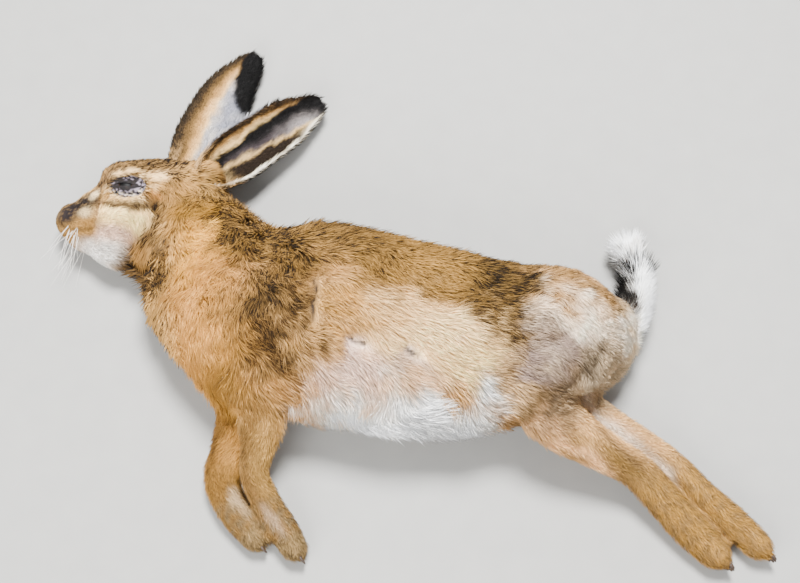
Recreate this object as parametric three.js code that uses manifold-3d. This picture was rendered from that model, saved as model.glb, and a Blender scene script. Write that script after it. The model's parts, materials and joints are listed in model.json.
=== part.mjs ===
// A brown hare lying on its right side, life size, as a still museum model.
// Millimetres, +Z up, the floor at z = 0. The head points to -X, the back to +Y, the belly to -Y,
// so the hare's left side looks up. Every part of the body is a solid of its own.

import * as THREE from "three";
import { mergeVertices } from "three/addons/utils/BufferGeometryUtils.js";
import Module from "manifold-3d";

const wasm = await Module();
wasm.setup();

// Driving sizes.
const GAP = 0.3; // between parts that touch
// Facet sizes: along the form, then across it.
const HEAD_CELL = [8, 6.8, 6.8];
const PAW_CELL = [9, 6.2, 6.2];
const LIMB_CELL = [13, 8.5, 8.5];
const TRUNK_CELL = [19, 14, 13];
const HIND_CELL = [15, 13, 12];
const TAIL_CELL = [11, 11, 11];
const BLEND_TRUNK = 22; // how softly the limbs run into the trunk
const BLEND_LIMB = 10;

const MIDLINE = 32; // height of the head's middle plane above the floor
const EYE = { x: -264, y: 107, out: 20, radius: 11 };
const EYE_SLIT = { half: 10.5, open: 1.7, tilt: -4 };
const EAR_THICK = 3;
const SPLIT_HIND = 56; // height where the left thigh meets the right one
const SPLIT_FORE = 50;
// Locks of the tail: rows from root to tip, locks round each row, share of the tail that each
// one spans, half its width and how flat it is.
const LOCKS = { rows: 6, round: 5, span: 0.3, half: 9, flat: 0.36 };

// Colours of the coat and the bare parts.
const COLOURS = {
  back: 0x8a6c49,
  orange: 0xc08a55,
  flank: 0xc9ac84,
  haunch: 0xb5a187,
  leg: 0xb58c5e,
  foot: 0xb08a5c,
  ear: 0x9c8464,
  tail: 0xece8e2,
  eye: 0x1b130d,
  claw: 0x3a332c,
};

// Sections of the swept forms. Each row is x, y, z of the centre, then half the depth from back to
// belly (or front to rear on a limb) and half the width from side to side.
const SPINE = [
  [-230, 92, 35, 45, 31],
  [-198, 55, 42, 58, 40],
  [-165, 9, 50, 76, 50],
  [-120, -21, 56, 90, 60],
  [-60, -30, 59, 93, 64],
  [0, -44, 60, 92, 66],
  [60, -50, 60, 86, 64],
  [110, -44, 59, 70, 60],
  [155, -37, 57, 56, 55],
  [188, -41, 54, 36, 40],
];
const SKULL = [
  [-324, 84.5, 31, 14.6, 13.3],
  [-312, 82.5, 31, 26, 17.5],
  [-302, 83.5, 32, 28, 20.5],
  [-292, 86, 32, 38, 24],
  [-270, 92, 32, 51, 29],
  [-240, 94, 32, 52, 30],
  [-212, 96, 34, 45, 29],
];
const EAR_ROOTS = [
  [
    [-216, 101, 43, 19, 17],
    [-202, 113, 45, 18, 17],
    [-190, 124, 45, 14, 14],
  ],
  [
    [-214, 110, 23, 20, 18],
    [-208, 132, 20, 18, 15],
    [-205, 146, 17, 14, 11],
  ],
];
const TAIL = [
  [190, -52, 48, 18, 17],
  [212, -28, 43, 18, 17],
  [227, 0, 36, 20, 19],
  [229, 26, 31, 20, 18],
  [223, 50, 26, 15, 14],
  [217, 72, 22, 6, 6],
];
// The core under the tail's locks.
const TAIL_CORE = [
  [190, -52, 48, 18, 17],
  [209, -31, 44, 14, 13],
  [226, 0, 36, 10, 9.5],
  [229, 26, 31, 9.5, 9],
  [223, 47, 27, 7, 7],
  [220, 60, 24, 3, 3],
];
const LEGS = {
  left_fore: [
    [-148, -22, 86, 44, 30],
    [-134, -66, 84, 38, 28],
    [-124, -104, 74, 26, 20],
    [-127, -138, 53, 17, 15],
    [-132, -167, 37, 13, 13],
    [-121, -191, 27, 13, 13],
    [-108, -213, 18, 14.5, 14],
    [-97, -229, 14, 12, 12],
  ],
  right_fore: [
    [-160, -20, 34, 44, 28],
    [-151, -64, 30, 38, 26],
    [-147, -104, 26, 26, 20],
    [-157, -138, 21, 17.5, 15],
    [-165, -166, 17, 16, 14.5],
    [-157, -190, 15, 15, 14],
    [-143, -209, 14, 14, 13.5],
    [-133, -221, 13, 11.5, 11.5],
  ],
  left_hind: [
    [158, -30, 84, 50, 32],
    [140, -68, 84, 48, 32],
    [122, -101, 78, 30, 26],
    [142, -125, 67, 26, 21],
    [180, -147, 52, 19, 17],
    [214, -164, 38, 16.5, 15],
    [238, -187, 27, 16.5, 15],
    [263, -213, 19, 17, 16.5],
    [284, -234, 16, 15, 15],
  ],
  right_hind: [
    [160, -40, 36, 46, 32],
    [158, -74, 30, 42, 28],
    [158, -102, 24, 36, 22],
    [184, -119, 21, 25, 19],
    [214, -132, 19, 17, 16.5],
    [248, -153, 17, 14.5, 14],
    [278, -181, 16, 13, 13.5],
    [304, -207, 15.5, 14.5, 14],
    [323, -226, 14.5, 13.5, 13.5],
  ],
};

const V = (x, y, z) => new THREE.Vector3(x, y, z);
const lerp = THREE.MathUtils.lerp;
const clamp = THREE.MathUtils.clamp;
const rad = THREE.MathUtils.degToRad;

// Soft forms are fields: below zero inside, zero on the surface, in millimetres outside.

// Stations along the rows of a table: place, direction, the axes across and the half sizes.
function stations(rows) {
  const line = new THREE.CatmullRomCurve3(rows.map((r) => V(r[0], r[1], r[2])));
  const size = new THREE.CatmullRomCurve3(rows.map((r) => V(r[3], r[4], 0)));
  return (t) => {
    const along = line.getTangent(t);
    const depth = V(-along.y, along.x, 0).normalize();
    const width = along.clone().cross(depth);
    const s = size.getPoint(t);
    return { at: line.getPoint(t), along, depth, width, deep: s.x, wide: s.y };
  };
}

// A form swept through the rows of a table, with rounded ends.
function sweep(rows, { cap = 0.8, power = 2.2, steps = 4, reach = 50 } = {}) {
  const station = stations(rows);
  const count = (rows.length - 1) * steps;
  const nodes = [];
  for (let i = 0; i <= count; i++) nodes.push(station(i / count));
  const box = new THREE.Box3();
  for (const n of nodes) {
    const r = Math.max(n.deep, n.wide);
    box.expandByPoint(n.at.clone().addScalar(r));
    box.expandByPoint(n.at.clone().addScalar(-r));
  }
  const p = V(0, 0, 0);
  const off = V(0, 0, 0);
  return (x, y, z) => {
    p.set(x, y, z);
    const far = box.distanceToPoint(p);
    if (far > reach) return far;
    let best = Infinity;
    let seg = 0;
    let part = 0;
    for (let i = 0; i < count; i++) {
      const a = nodes[i].at;
      const b = nodes[i + 1].at;
      const ux = b.x - a.x;
      const uy = b.y - a.y;
      const uz = b.z - a.z;
      const run = (x - a.x) * ux + (y - a.y) * uy + (z - a.z) * uz;
      const t = clamp(run / (ux * ux + uy * uy + uz * uz), 0, 1);
      const dx = x - a.x - t * ux;
      const dy = y - a.y - t * uy;
      const dz = z - a.z - t * uz;
      const d = dx * dx + dy * dy + dz * dz;
      if (d < best) {
        best = d;
        seg = i;
        part = t;
      }
    }
    const a = nodes[seg];
    const b = nodes[seg + 1];
    off.copy(p).sub(a.at).addScaledVector(V(0, 0, 0).copy(b.at).sub(a.at), -part);
    const deep = lerp(a.deep, b.deep, part);
    const wide = lerp(a.wide, b.wide, part);
    const n = Math.abs(off.dot(a.depth) * (1 - part) + off.dot(b.depth) * part) / deep;
    const w = Math.abs(off.dot(a.width) * (1 - part) + off.dot(b.width) * part) / wide;
    const end = (seg === 0 && part === 0) || (seg === count - 1 && part === 1);
    const past = Math.abs(off.dot(seg === 0 ? a.along : b.along));
    const l = end ? past / (cap * Math.min(deep, wide)) : 0;
    const r = Math.pow(Math.pow(n, power) + Math.pow(w, power) + Math.pow(l, power), 1 / power);
    const length = off.length();
    return r < 0.05 ? -Math.min(deep, wide) : length * (1 - 1 / r);
  };
}

// An oval lump: centre, half sizes, turned about the upright axis.
function lump(x0, y0, z0, rx, ry, rz, turn = 0) {
  const c = Math.cos(rad(turn));
  const s = Math.sin(rad(turn));
  return (x, y, z) => {
    const dx = x - x0;
    const dy = y - y0;
    const dz = z - z0;
    const length = Math.hypot(dx, dy, dz);
    const r = Math.hypot((dx * c + dy * s) / rx, (dy * c - dx * s) / ry, dz / rz);
    return r < 0.05 ? -Math.min(rx, ry, rz) : length * (1 - 1 / r);
  };
}

// Forms run together, rounded over a width of k.
function union(k, ...fields) {
  return (x, y, z) => {
    let v = fields[0](x, y, z);
    for (let i = 1; i < fields.length; i++) {
      const w = fields[i](x, y, z);
      const h = Math.max(k - Math.abs(v - w), 0) / k;
      v = Math.min(v, w) - h * h * k * 0.25;
    }
    return v;
  };
}

// The closed surface of a field inside a box, on a grid of even cells that may be turned about the
// upright axis, box and all. Where the form runs on past the box, the box closes it.
function surface(form, low, high, cell, turn = 0) {
  const c = Math.cos(rad(turn));
  const s = Math.sin(rad(turn));
  const field = (x, y, z) => form(x * c - y * s, x * s + y * c, z);
  const least = Math.min(...cell);
  const n = [0, 1, 2].map((i) => Math.ceil((high[i] - low[i]) / cell[i]) + 1);
  const values = new Float32Array(n[0] * n[1] * n[2]);
  const at = (i, j, k) => (k * n[1] + j) * n[0] + i;
  for (let k = 0; k < n[2]; k++)
    for (let j = 0; j < n[1]; j++)
      for (let i = 0; i < n[0]; i++) {
        const edge = i === 0 || j === 0 || k === 0 || i === n[0] - 1 || j === n[1] - 1 || k === n[2] - 1;
        const v = field(low[0] + i * cell[0], low[1] + j * cell[1], low[2] + k * cell[2]);
        values[at(i, j, k)] = edge ? Math.max(v, least / 2) : v;
      }
  const vertexOf = new Map();
  const points = [];
  const corner = [];
  for (let c = 0; c < 8; c++) corner.push([c & 1, (c >> 1) & 1, c >> 2]);
  for (let k = 0; k < n[2] - 1; k++)
    for (let j = 0; j < n[1] - 1; j++)
      for (let i = 0; i < n[0] - 1; i++) {
        const v = corner.map(([a, b, c]) => values[at(i + a, j + b, k + c)]);
        const inside = v.filter((q) => q < 0).length;
        if (inside === 0 || inside === 8) continue;
        const sum = V(0, 0, 0);
        let hits = 0;
        for (let a = 0; a < 8; a++)
          for (const bit of [1, 2, 4]) {
            const b = a | bit;
            if (b === a || v[a] < 0 === v[b] < 0) continue;
            const t = v[a] / (v[a] - v[b]);
            sum.x += lerp(corner[a][0], corner[b][0], t);
            sum.y += lerp(corner[a][1], corner[b][1], t);
            sum.z += lerp(corner[a][2], corner[b][2], t);
            hits++;
          }
        sum.multiplyScalar(1 / hits);
        vertexOf.set(at(i, j, k), points.length);
        const cellAt = [i + sum.x, j + sum.y, k + sum.z];
        points.push(V(...cellAt.map((q, axis) => low[axis] + q * cell[axis])));
      }
  // Two steps down the slope put each vertex on the true surface.
  const h = 0.05;
  for (const q of points)
    for (let pass = 0; pass < 2; pass++) {
      const f = field(q.x, q.y, q.z);
      if (Math.abs(f) > 0.6 * least) continue;
      const g = V(
        field(q.x + h, q.y, q.z) - field(q.x - h, q.y, q.z),
        field(q.x, q.y + h, q.z) - field(q.x, q.y - h, q.z),
        field(q.x, q.y, q.z + h) - field(q.x, q.y, q.z - h),
      ).multiplyScalar(0.5 / h);
      const slope = Math.max(g.lengthSq(), 0.2);
      q.addScaledVector(g, -clamp(f / slope, -0.4 * least, 0.4 * least));
    }
  const index = [];
  const steps = [1, n[0], n[0] * n[1]];
  const quad = (a, b, c, d, flip) => {
    const short = points[a].distanceToSquared(points[c]) < points[b].distanceToSquared(points[d]);
    const tris = short ? [a, b, c, a, c, d] : [a, b, d, b, c, d];
    if (flip) index.push(tris[0], tris[2], tris[1], tris[3], tris[5], tris[4]);
    else index.push(...tris);
  };
  for (let k = 1; k < n[2] - 1; k++)
    for (let j = 1; j < n[1] - 1; j++)
      for (let i = 1; i < n[0] - 1; i++)
        for (let axis = 0; axis < 3; axis++) {
          const here = at(i, j, k);
          const next = here + steps[axis];
          if (values[here] < 0 === values[next] < 0) continue;
          const u = steps[(axis + 1) % 3];
          const w = steps[(axis + 2) % 3];
          const ring = [here - u - w, here - w, here, here - u].map((c) => vertexOf.get(c));
          quad(...ring, values[here] >= 0);
        }
  // The quads on the box's low faces.
  for (let axis = 0; axis < 3; axis++) {
    const u = (axis + 1) % 3;
    const w = (axis + 2) % 3;
    const p = [0, 0, 0];
    for (p[u] = 1; p[u] < n[u] - 1; p[u]++)
      for (p[w] = 1; p[w] < n[w] - 1; p[w]++) {
        p[axis] = 0;
        const here = at(...p);
        const next = here + steps[axis];
        if (values[here] < 0 === values[next] < 0) continue;
        const ring = [here - steps[u] - steps[w], here - steps[w], here, here - steps[u]];
        quad(...ring.map((c) => vertexOf.get(c)), values[here] >= 0);
      }
  }
  return solid(new THREE.BufferGeometry().setFromPoints(points).setIndex(index).rotateZ(rad(turn)));
}

// A closed solid from a closed geometry.
function solid(geometry) {
  const bare = geometry.clone();
  bare.deleteAttribute("normal");
  bare.deleteAttribute("uv");
  const merged = bare.index && bare.index.count ? bare : mergeVertices(bare, 1e-4);
  const whole = mergeVertices(merged, 1e-4);
  return new wasm.Manifold(
    new wasm.Mesh({
      numProp: 3,
      vertProperties: new Float32Array(whole.attributes.position.array),
      triVerts: new Uint32Array(whole.index.array),
    }),
  );
}

// Everything on the side of a plane that its normal points to, a distance off it.
function side(point, normal, off = 0) {
  const far = 1600;
  const g = new THREE.BoxGeometry(far, far, far).translate(0, 0, far / 2 + off);
  const q = new THREE.Quaternion().setFromUnitVectors(V(0, 0, 1), V(...normal).normalize());
  return solid(g.applyQuaternion(q).translate(...point));
}

const HALF = GAP / 2;
const beyond = (cut) => side(cut.at, cut.normal, HALF);
const before = (cut) => side(cut.at, cut.normal.map((c) => -c), HALF);
const FLOOR = { at: [0, 0, 0], normal: [0, 0, 1] };
const above = () => side(FLOOR.at, FLOOR.normal);

// An upright prism over an oval, from one height to another, grown by a margin.
function ovalPrism({ at, half, turn }, z0, z1, grow = 0) {
  const shape = new THREE.Shape();
  shape.absellipse(0, 0, half[0] + grow, half[1] + grow, 0, Math.PI * 2);
  const g = new THREE.ExtrudeGeometry(shape, { depth: z1 - z0, bevelEnabled: false, curveSegments: 20 });
  return solid(g.rotateZ(rad(turn)).translate(at[0], at[1], z0));
}

function ball(x, y, z, rx, ry = rx, rz = rx, detail = 14) {
  const g = new THREE.SphereGeometry(1, detail, Math.round(detail * 0.7)).scale(rx, ry, rz);
  return solid(g.translate(x, y, z));
}

// A closed tapering rod through points, its radii given along it and its section flattened.
function taper(points, radii, { sides = 7, flat = 1, up = V(0, 0, 1) } = {}) {
  const line = new THREE.CatmullRomCurve3(points);
  const rings = radii.length;
  const list = [];
  for (let i = 0; i < rings; i++) {
    const t = i / (rings - 1);
    const at = line.getPoint(t);
    const along = line.getTangent(t);
    const across = along.clone().cross(up).normalize();
    const rise = along.clone().cross(across);
    for (let s = 0; s < sides; s++) {
      const a = (s / sides) * Math.PI * 2;
      const q = at.clone().addScaledVector(across, Math.cos(a) * radii[i]);
      list.push(q.addScaledVector(rise, Math.sin(a) * radii[i] * flat));
    }
  }
  const first = list.length;
  list.push(line.getPoint(0), line.getPoint(1));
  const index = [];
  for (let i = 0; i < rings - 1; i++)
    for (let s = 0; s < sides; s++) {
      const a = i * sides + s;
      const b = i * sides + ((s + 1) % sides);
      index.push(a, b, a + sides, b, b + sides, a + sides);
    }
  for (let s = 0; s < sides; s++) {
    const next = (s + 1) % sides;
    index.push(first, next, s);
    index.push(first + 1, (rings - 1) * sides + s, (rings - 1) * sides + next);
  }
  return solid(new THREE.BufferGeometry().setFromPoints(list).setIndex(index));
}

const group = new THREE.Group();

function geometryOf(made) {
  const mesh = made.getMesh();
  const g = new THREE.BufferGeometry();
  g.setAttribute("position", new THREE.BufferAttribute(new Float32Array(mesh.vertProperties), 3));
  return g.setIndex(new THREE.BufferAttribute(new Uint32Array(mesh.triVerts), 1));
}

// Keeps the largest closed surface of a solid and hangs it in the group under its name.
function part(name, made, colour, roughness = 0.9) {
  const pieces = made.decompose().sort((a, b) => b.volume() - a.volume());
  const g = geometryOf(pieces[0]);
  g.computeVertexNormals();
  const material = new THREE.MeshStandardMaterial({ color: colour, roughness, metalness: 0 });
  const node = new THREE.Mesh(g, material);
  node.name = name;
  group.add(node);
  return pieces[0];
}

// The whole body as one form.
const legForm = Object.fromEntries(Object.entries(LEGS).map(([name, rows]) => [name, sweep(rows)]));
const spine = sweep(SPINE, { cap: 0.75 });
const tailForm = sweep(TAIL_CORE);

const skull = union(
  12,
  sweep(SKULL, { cap: 0.9, steps: 12, power: 2 }),
  lump(-260, 76, MIDLINE, 38, 30, 34),
  lump(-263, 107, MIDLINE + 16, 26, 20, 18),
  lump(-263, 107, MIDLINE - 16, 26, 20, 18),
  lump(-313, 77, MIDLINE + 6, 15, 13, 12),
  lump(-313, 77, MIDLINE - 6, 15, 13, 12),
  lump(-301, 62, MIDLINE, 15, 12, 13),
  lump(-262, 52, MIDLINE, 37, 22, 25),
  ...EAR_ROOTS.map((rows) => sweep(rows, { steps: 6 })),
);
const torso = union(
  BLEND_TRUNK,
  spine,
  skull,
  tailForm,
  legForm.left_fore,
  legForm.right_fore,
  legForm.left_hind,
  legForm.right_hind,
);

// Where the body is parted.
const CUT = {
  neck: { at: [-202, 66, 40], normal: [0.75, -0.66, 0] },
  chest: { at: [-173, 15, 50], normal: [0.737, -0.675, 0] },
  loin: { at: [-8, 0, 60], normal: [1, 0, 0] },
  rump: { at: [98, -40, 60], normal: [0.99, -0.1, 0] },
  tail: { at: [204, -38, 46], normal: [0.6, 0.8, 0] },
  tailSide: { at: [192, -20, 46], normal: [1, 0, 0] },
  tailUnder: { at: [204, -38, 23], normal: [0.35, 0.35, 0.87] },
  tailOver: { at: [204, -38, 68], normal: [0, 0, -1] },
  elbow: { at: [-135, -112, 50], normal: [-0.1, -1, 0] },
  knee: { at: [122, -120, 50], normal: [0.28, -0.96, 0] },
  hind: { at: [0, 0, SPLIT_HIND], normal: [0, 0, 1] },
  fore: { at: [0, 0, SPLIT_FORE], normal: [0, 0, 1] },
};
const SHOULDER_OVAL = { at: [-132, -86], half: [40, 62], turn: -14 };
const THIGH_OVAL = { at: [158, -84], half: [56, 78], turn: 12 };
const TOP = 200;

const prism = (oval, grow = 0) => ovalPrism(oval, -50, TOP, grow);

// Trunk.
const neckRaw = surface(torso, [-270, -80, -20], [-80, 130, 130], TRUNK_CELL).intersect(above());
part("neck", neckRaw.intersect(beyond(CUT.neck)).intersect(before(CUT.chest)), COLOURS.orange);

const chestRaw = surface(torso, [-270, -190, -20], [20, 130, 150], TRUNK_CELL).intersect(above());
const chestSlab = chestRaw.intersect(beyond(CUT.chest)).intersect(before(CUT.loin));
const foreWedge = side(CUT.elbow.at, CUT.elbow.normal, -HALF).intersect(side([-86, 0, 0], [-1, 0, 0]));
part("chest", chestSlab.subtract(prism(SHOULDER_OVAL, GAP)).subtract(foreWedge), COLOURS.orange);

const loinRaw = surface(torso, [-40, -190, -20], [130, 90, 150], TRUNK_CELL).intersect(above());
const loinSlab = loinRaw.intersect(beyond(CUT.loin)).intersect(before(CUT.rump));
part("loin", loinSlab.subtract(prism(THIGH_OVAL, GAP)), COLOURS.flank);

const hindRaw = surface(torso, [60, -220, -20], [270, 120, 150], HIND_CELL).intersect(above());
const tailWedge = (off) =>
  [CUT.tail, CUT.tailSide, CUT.tailUnder, CUT.tailOver]
    .map((cut) => side(cut.at, cut.normal, off))
    .reduce((whole, next) => whole.intersect(next));
const rumpSlab = hindRaw.intersect(beyond(CUT.rump)).intersect(before(CUT.knee));
part("rump", rumpSlab.subtract(prism(THIGH_OVAL, GAP)).subtract(tailWedge(-HALF)), COLOURS.back);

// Thighs and upper arms, parted from each other at the middle of the body.
const thighs = hindRaw.intersect(prism(THIGH_OVAL)).intersect(before(CUT.knee)).subtract(tailWedge(-HALF));
part("left_thigh", thighs.intersect(beyond(CUT.hind)), COLOURS.haunch);
part("right_thigh", thighs.intersect(before(CUT.hind)), COLOURS.haunch);
const armSlab = chestRaw.intersect(before(CUT.elbow)).intersect(beyond(CUT.chest));
const arms = armSlab.intersect(prism(SHOULDER_OVAL));
part("left_upper_arm", arms.intersect(beyond(CUT.fore)), COLOURS.orange);
part("right_upper_arm", arms.intersect(before(CUT.fore)), COLOURS.orange);

// The tail: tapered locks that overlap from root to tip, fused with a slim core.
function seeded(start) {
  let state = start;
  return (low, high) => {
    state = (state * 16807) % 2147483647;
    return low + ((high - low) * state) / 2147483647;
  };
}

function tailLocks() {
  const draw = seeded(19);
  const outer = stations(TAIL);
  const inner = stations(TAIL_CORE);
  // A point of the lock at a place along the tail, part of the way from the core to the outline.
  const place = (t, angle, out) => {
    const a = inner(clamp(t, 0, 1));
    const b = outer(clamp(t, 0, 1));
    const across = b.depth.clone().multiplyScalar(Math.cos(angle) * lerp(a.deep, b.deep, out));
    across.addScaledVector(b.width, Math.sin(angle) * lerp(a.wide, b.wide, out));
    return b.at.clone().add(across).addScaledVector(b.along, Math.max(t - 1, 0) * 90);
  };
  const locks = [];
  for (let i = 0; i < LOCKS.rows; i++)
    for (let j = 0; j < LOCKS.round; j++) {
      const t = lerp(0.04, 0.76, i / (LOCKS.rows - 1)) + draw(-0.02, 0.02);
      const angle = ((j + (i % 2) * 0.5 + draw(-0.15, 0.15)) / LOCKS.round) * Math.PI * 2;
      const span = LOCKS.span * draw(0.85, 1.1);
      const turn = draw(-0.25, 0.25);
      const path = [
        place(t - 0.03, angle, -0.6),
        place(t + span * 0.45, angle + turn * 0.4, 0.62),
        place(t + span, angle + turn, 0.98),
      ];
      const half = LOCKS.half * lerp(1, 0.62, t) * draw(0.9, 1.1);
      const up = path[1].clone().sub(outer(clamp(t + span * 0.45, 0, 1)).at).normalize();
      locks.push(taper(path, [half * 0.75, half, 0.9], { sides: 4, flat: LOCKS.flat, up }));
    }
  return locks;
}

const tailRaw = surface(torso, [170, -70, -10], [280, 110, 90], TAIL_CELL);
const tail = tailLocks().reduce((whole, lock) => whole.add(lock), tailRaw);
part("tail", tail.intersect(above()).intersect(tailWedge(HALF)), COLOURS.tail);

// Lower legs.
const WRIST = {
  left_fore: { at: [-133, -172, 31], normal: [0.1, -1, -0.2] },
  right_fore: { at: [-163, -172, 18], normal: [0.1, -1, 0] },
};
const HOCK = {
  left_hind: { at: [222, -164, 33], normal: [0.75, -0.66, 0] },
  right_hind: { at: [249, -155, 19], normal: [0.75, -0.66, 0] },
};

// The toes at the end of a leg: a fan of short lumps side by side.
function toes(rows, count, spread, radius, ahead) {
  const [x1, y1, z1] = rows[rows.length - 1];
  const [x0, y0] = rows[rows.length - 2];
  const along = V(x1 - x0, y1 - y0, 0).normalize();
  const made = [];
  for (let i = 0; i < count; i++) {
    const s = i / (count - 1) - 0.5;
    const reach = ahead * (1 - 1.1 * s * s);
    made.push({
      at: V(x1, y1, z1).addScaledVector(along, reach).add(V(0, 0, s * spread)),
      along,
      radius,
    });
  }
  return made;
}

const TOES = {
  left_fore: toes(LEGS.left_fore, 4, 15, 5.8, 5),
  right_fore: toes(LEGS.right_fore, 4, 15, 5.8, 4),
  left_hind: toes(LEGS.left_hind, 4, 20, 6.8, 8),
  right_hind: toes(LEGS.right_hind, 4, 19, 6.8, 8),
};

function footForm(name) {
  const fan = TOES[name].map((t) => {
    const turn = THREE.MathUtils.radToDeg(Math.atan2(t.along.y, t.along.x));
    return lump(t.at.x, t.at.y, t.at.z, t.radius * 1.7, t.radius, t.radius * 0.95, turn);
  });
  return union(BLEND_LIMB, legForm[name], union(2.5, ...fan));
}

const footField = Object.fromEntries(Object.keys(LEGS).map((name) => [name, footForm(name)]));

// The box round a leg from one of its rows on, in a frame turned about the upright axis.
function boxOf(rows, from, margin, turn) {
  const box = new THREE.Box3();
  for (const r of rows.slice(from)) {
    const m = Math.max(r[3], r[4]) + margin;
    const at = V(r[0], r[1], r[2]).applyAxisAngle(V(0, 0, 1), -rad(turn));
    box.expandByPoint(at.clone().addScalar(m));
    box.expandByPoint(at.clone().addScalar(-m));
  }
  return [box.min.toArray(), box.max.toArray()];
}

function lowerLeg(key, turn, start, bend, shank, foot) {
  const box = boxOf(LEGS[key], 2, 14, turn);
  const leg = (cell) => surface(footField[key], ...box, cell, turn).intersect(above());
  part(shank, leg(LIMB_CELL).intersect(beyond(start)).intersect(before(bend)), COLOURS.leg);
  return part(foot, leg(PAW_CELL).intersect(beyond(bend)), COLOURS.foot);
}

const paws = {
  left_fore: lowerLeg("left_fore", 118, CUT.elbow, WRIST.left_fore, "left_forearm", "left_forepaw"),
  right_fore: lowerLeg("right_fore", 118, CUT.elbow, WRIST.right_fore, "right_forearm", "right_forepaw"),
  left_hind: lowerLeg("left_hind", -38, CUT.knee, HOCK.left_hind, "left_shank", "left_hind_foot"),
  right_hind: lowerLeg("right_hind", -38, CUT.knee, HOCK.right_hind, "right_shank", "right_hind_foot"),
};

// Claws, each trimmed by its paw pushed forward by the gap and a little more.
function claws(name, prefix, length, radius) {
  const push = TOES[name][0].along.clone().multiplyScalar(1.6 * GAP);
  const paw = solid(geometryOf(paws[name]).translate(...push.toArray())).add(paws[name]);
  TOES[name].forEach((toe, i) => {
    const root = toe.at.clone().addScaledVector(toe.along, toe.radius * 0.9);
    const mid = toe.at.clone().addScaledVector(toe.along, toe.radius * 1.7 + length * 0.45);
    const tip = toe.at.clone().addScaledVector(toe.along, toe.radius * 1.7 + length);
    mid.z += 0.6;
    tip.z -= 1.2;
    const claw = taper([root, mid, tip], [radius, radius * 0.9, radius * 0.6, 0.35], { sides: 5 });
    part(prefix + "_claw_" + (i + 1), claw.subtract(paw).intersect(above()), COLOURS.claw, 0.45);
  });
}

claws("left_fore", "left_forepaw", 4, 1.5);
claws("right_fore", "right_forepaw", 4, 1.5);
claws("left_hind", "left_hind_foot", 5, 1.7);
claws("right_hind", "right_hind_foot", 5, 1.7);

// The head, with lids round a narrow eye, nostrils and the line of the mouth.
const headLow = [-350, 10, -16];
const headHigh = [-160, 165, 84];
let head = surface(torso, headLow, headHigh, HEAD_CELL);

// The height of the head's surface over a point, on the left (1) or the right (-1).
function cheekAt(x, y, sideways) {
  let near = 0;
  let far = 60;
  for (let i = 0; i < 30; i++) {
    const mid = (near + far) / 2;
    if (skull(x, y, MIDLINE + sideways * mid) < 0) near = mid;
    else far = mid;
  }
  return V(x, y, MIDLINE + sideways * near);
}

for (const s of [1, -1]) {
  const z = MIDLINE + s * EYE.out;
  const socket = EYE.radius + 0.4;
  head = head.subtract(ball(EYE.x, EYE.y, z, socket, socket, socket, 14));
  const slit = new THREE.SphereGeometry(1, 14, 8).scale(EYE_SLIT.half, EYE_SLIT.open, EYE.radius + 8);
  slit.translate(0, 0, s * (EYE.radius + 2)).rotateZ(rad(EYE_SLIT.tilt)).translate(EYE.x, EYE.y, z);
  head = head.subtract(solid(slit));
}
// Each lip line runs back from the cleft under the nose to the corner of the mouth.
const MOUTH = [
  [-331, 76],
  [-326, 71],
  [-318, 67],
  [-309, 65],
  [-299, 65],
];
for (const s of [1, -1]) {
  const line = MOUTH.map(([x, y]) => cheekAt(x, y, s));
  head = head.subtract(taper(line, [1.6, 1.9, 1.9, 1.7, 1.4, 0.6], { sides: 6, up: V(0, 1, 0.2) }));
  const nostril = [V(-338, 89, MIDLINE + s * 3), V(-332, 92, MIDLINE + s * 6), V(-327, 92, MIDLINE + s * 9)];
  head = head.subtract(taper(nostril, [1.6, 1.9, 1.7, 0.8], { sides: 6, flat: 0.7 }));
}
const cleft = [V(-339, 88, MIDLINE), V(-336, 80, MIDLINE), V(-331, 73, MIDLINE), V(-324, 66, MIDLINE)];
head = head.subtract(taper(cleft, [0.8, 1.6, 1.6, 0.8], { sides: 6, up: V(0, 0, 1) }));
head = head.intersect(before(CUT.neck)).intersect(above());
part("head", head, COLOURS.flank);
for (const s of [1, -1]) {
  const eye = ball(EYE.x, EYE.y, MIDLINE + s * EYE.out, EYE.radius, EYE.radius, EYE.radius, 12);
  part(s > 0 ? "left_eye" : "right_eye", eye, COLOURS.eye, 0.15);
}

// The ears are thin cups, rolled to a tube at the root and open along their length.
// Along the ear from root to tip: share of the length, radius of the curve across, half its angle.
const EAR_CUP = {
  left: [
    [0, 10, 168],
    [0.18, 13, 150],
    [0.34, 20, 88],
    [0.54, 32, 50],
    [0.72, 34, 42],
    [0.88, 26, 35],
    [1, 9, 24],
  ],
  right: [
    [0, 13, 160],
    [0.16, 21, 104],
    [0.34, 36, 55],
    [0.52, 46, 42],
    [0.7, 44, 38],
    [0.88, 32, 32],
    [1, 10, 24],
  ],
};
const EAR_LINE = {
  left: [V(-222, 96, 31), V(-192, 121, 34), V(-155, 154, 33), V(-114, 190, 26), V(-80, 217, 20)],
  right: [V(-212, 108, 30), V(-206, 140, 31), V(-195, 184, 27), V(-177, 230, 22), V(-149, 272, 17)],
};
const EAR_OPEN = { left: V(0.05, -0.28, 0.96), right: V(0.05, 0.1, -1) };

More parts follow.
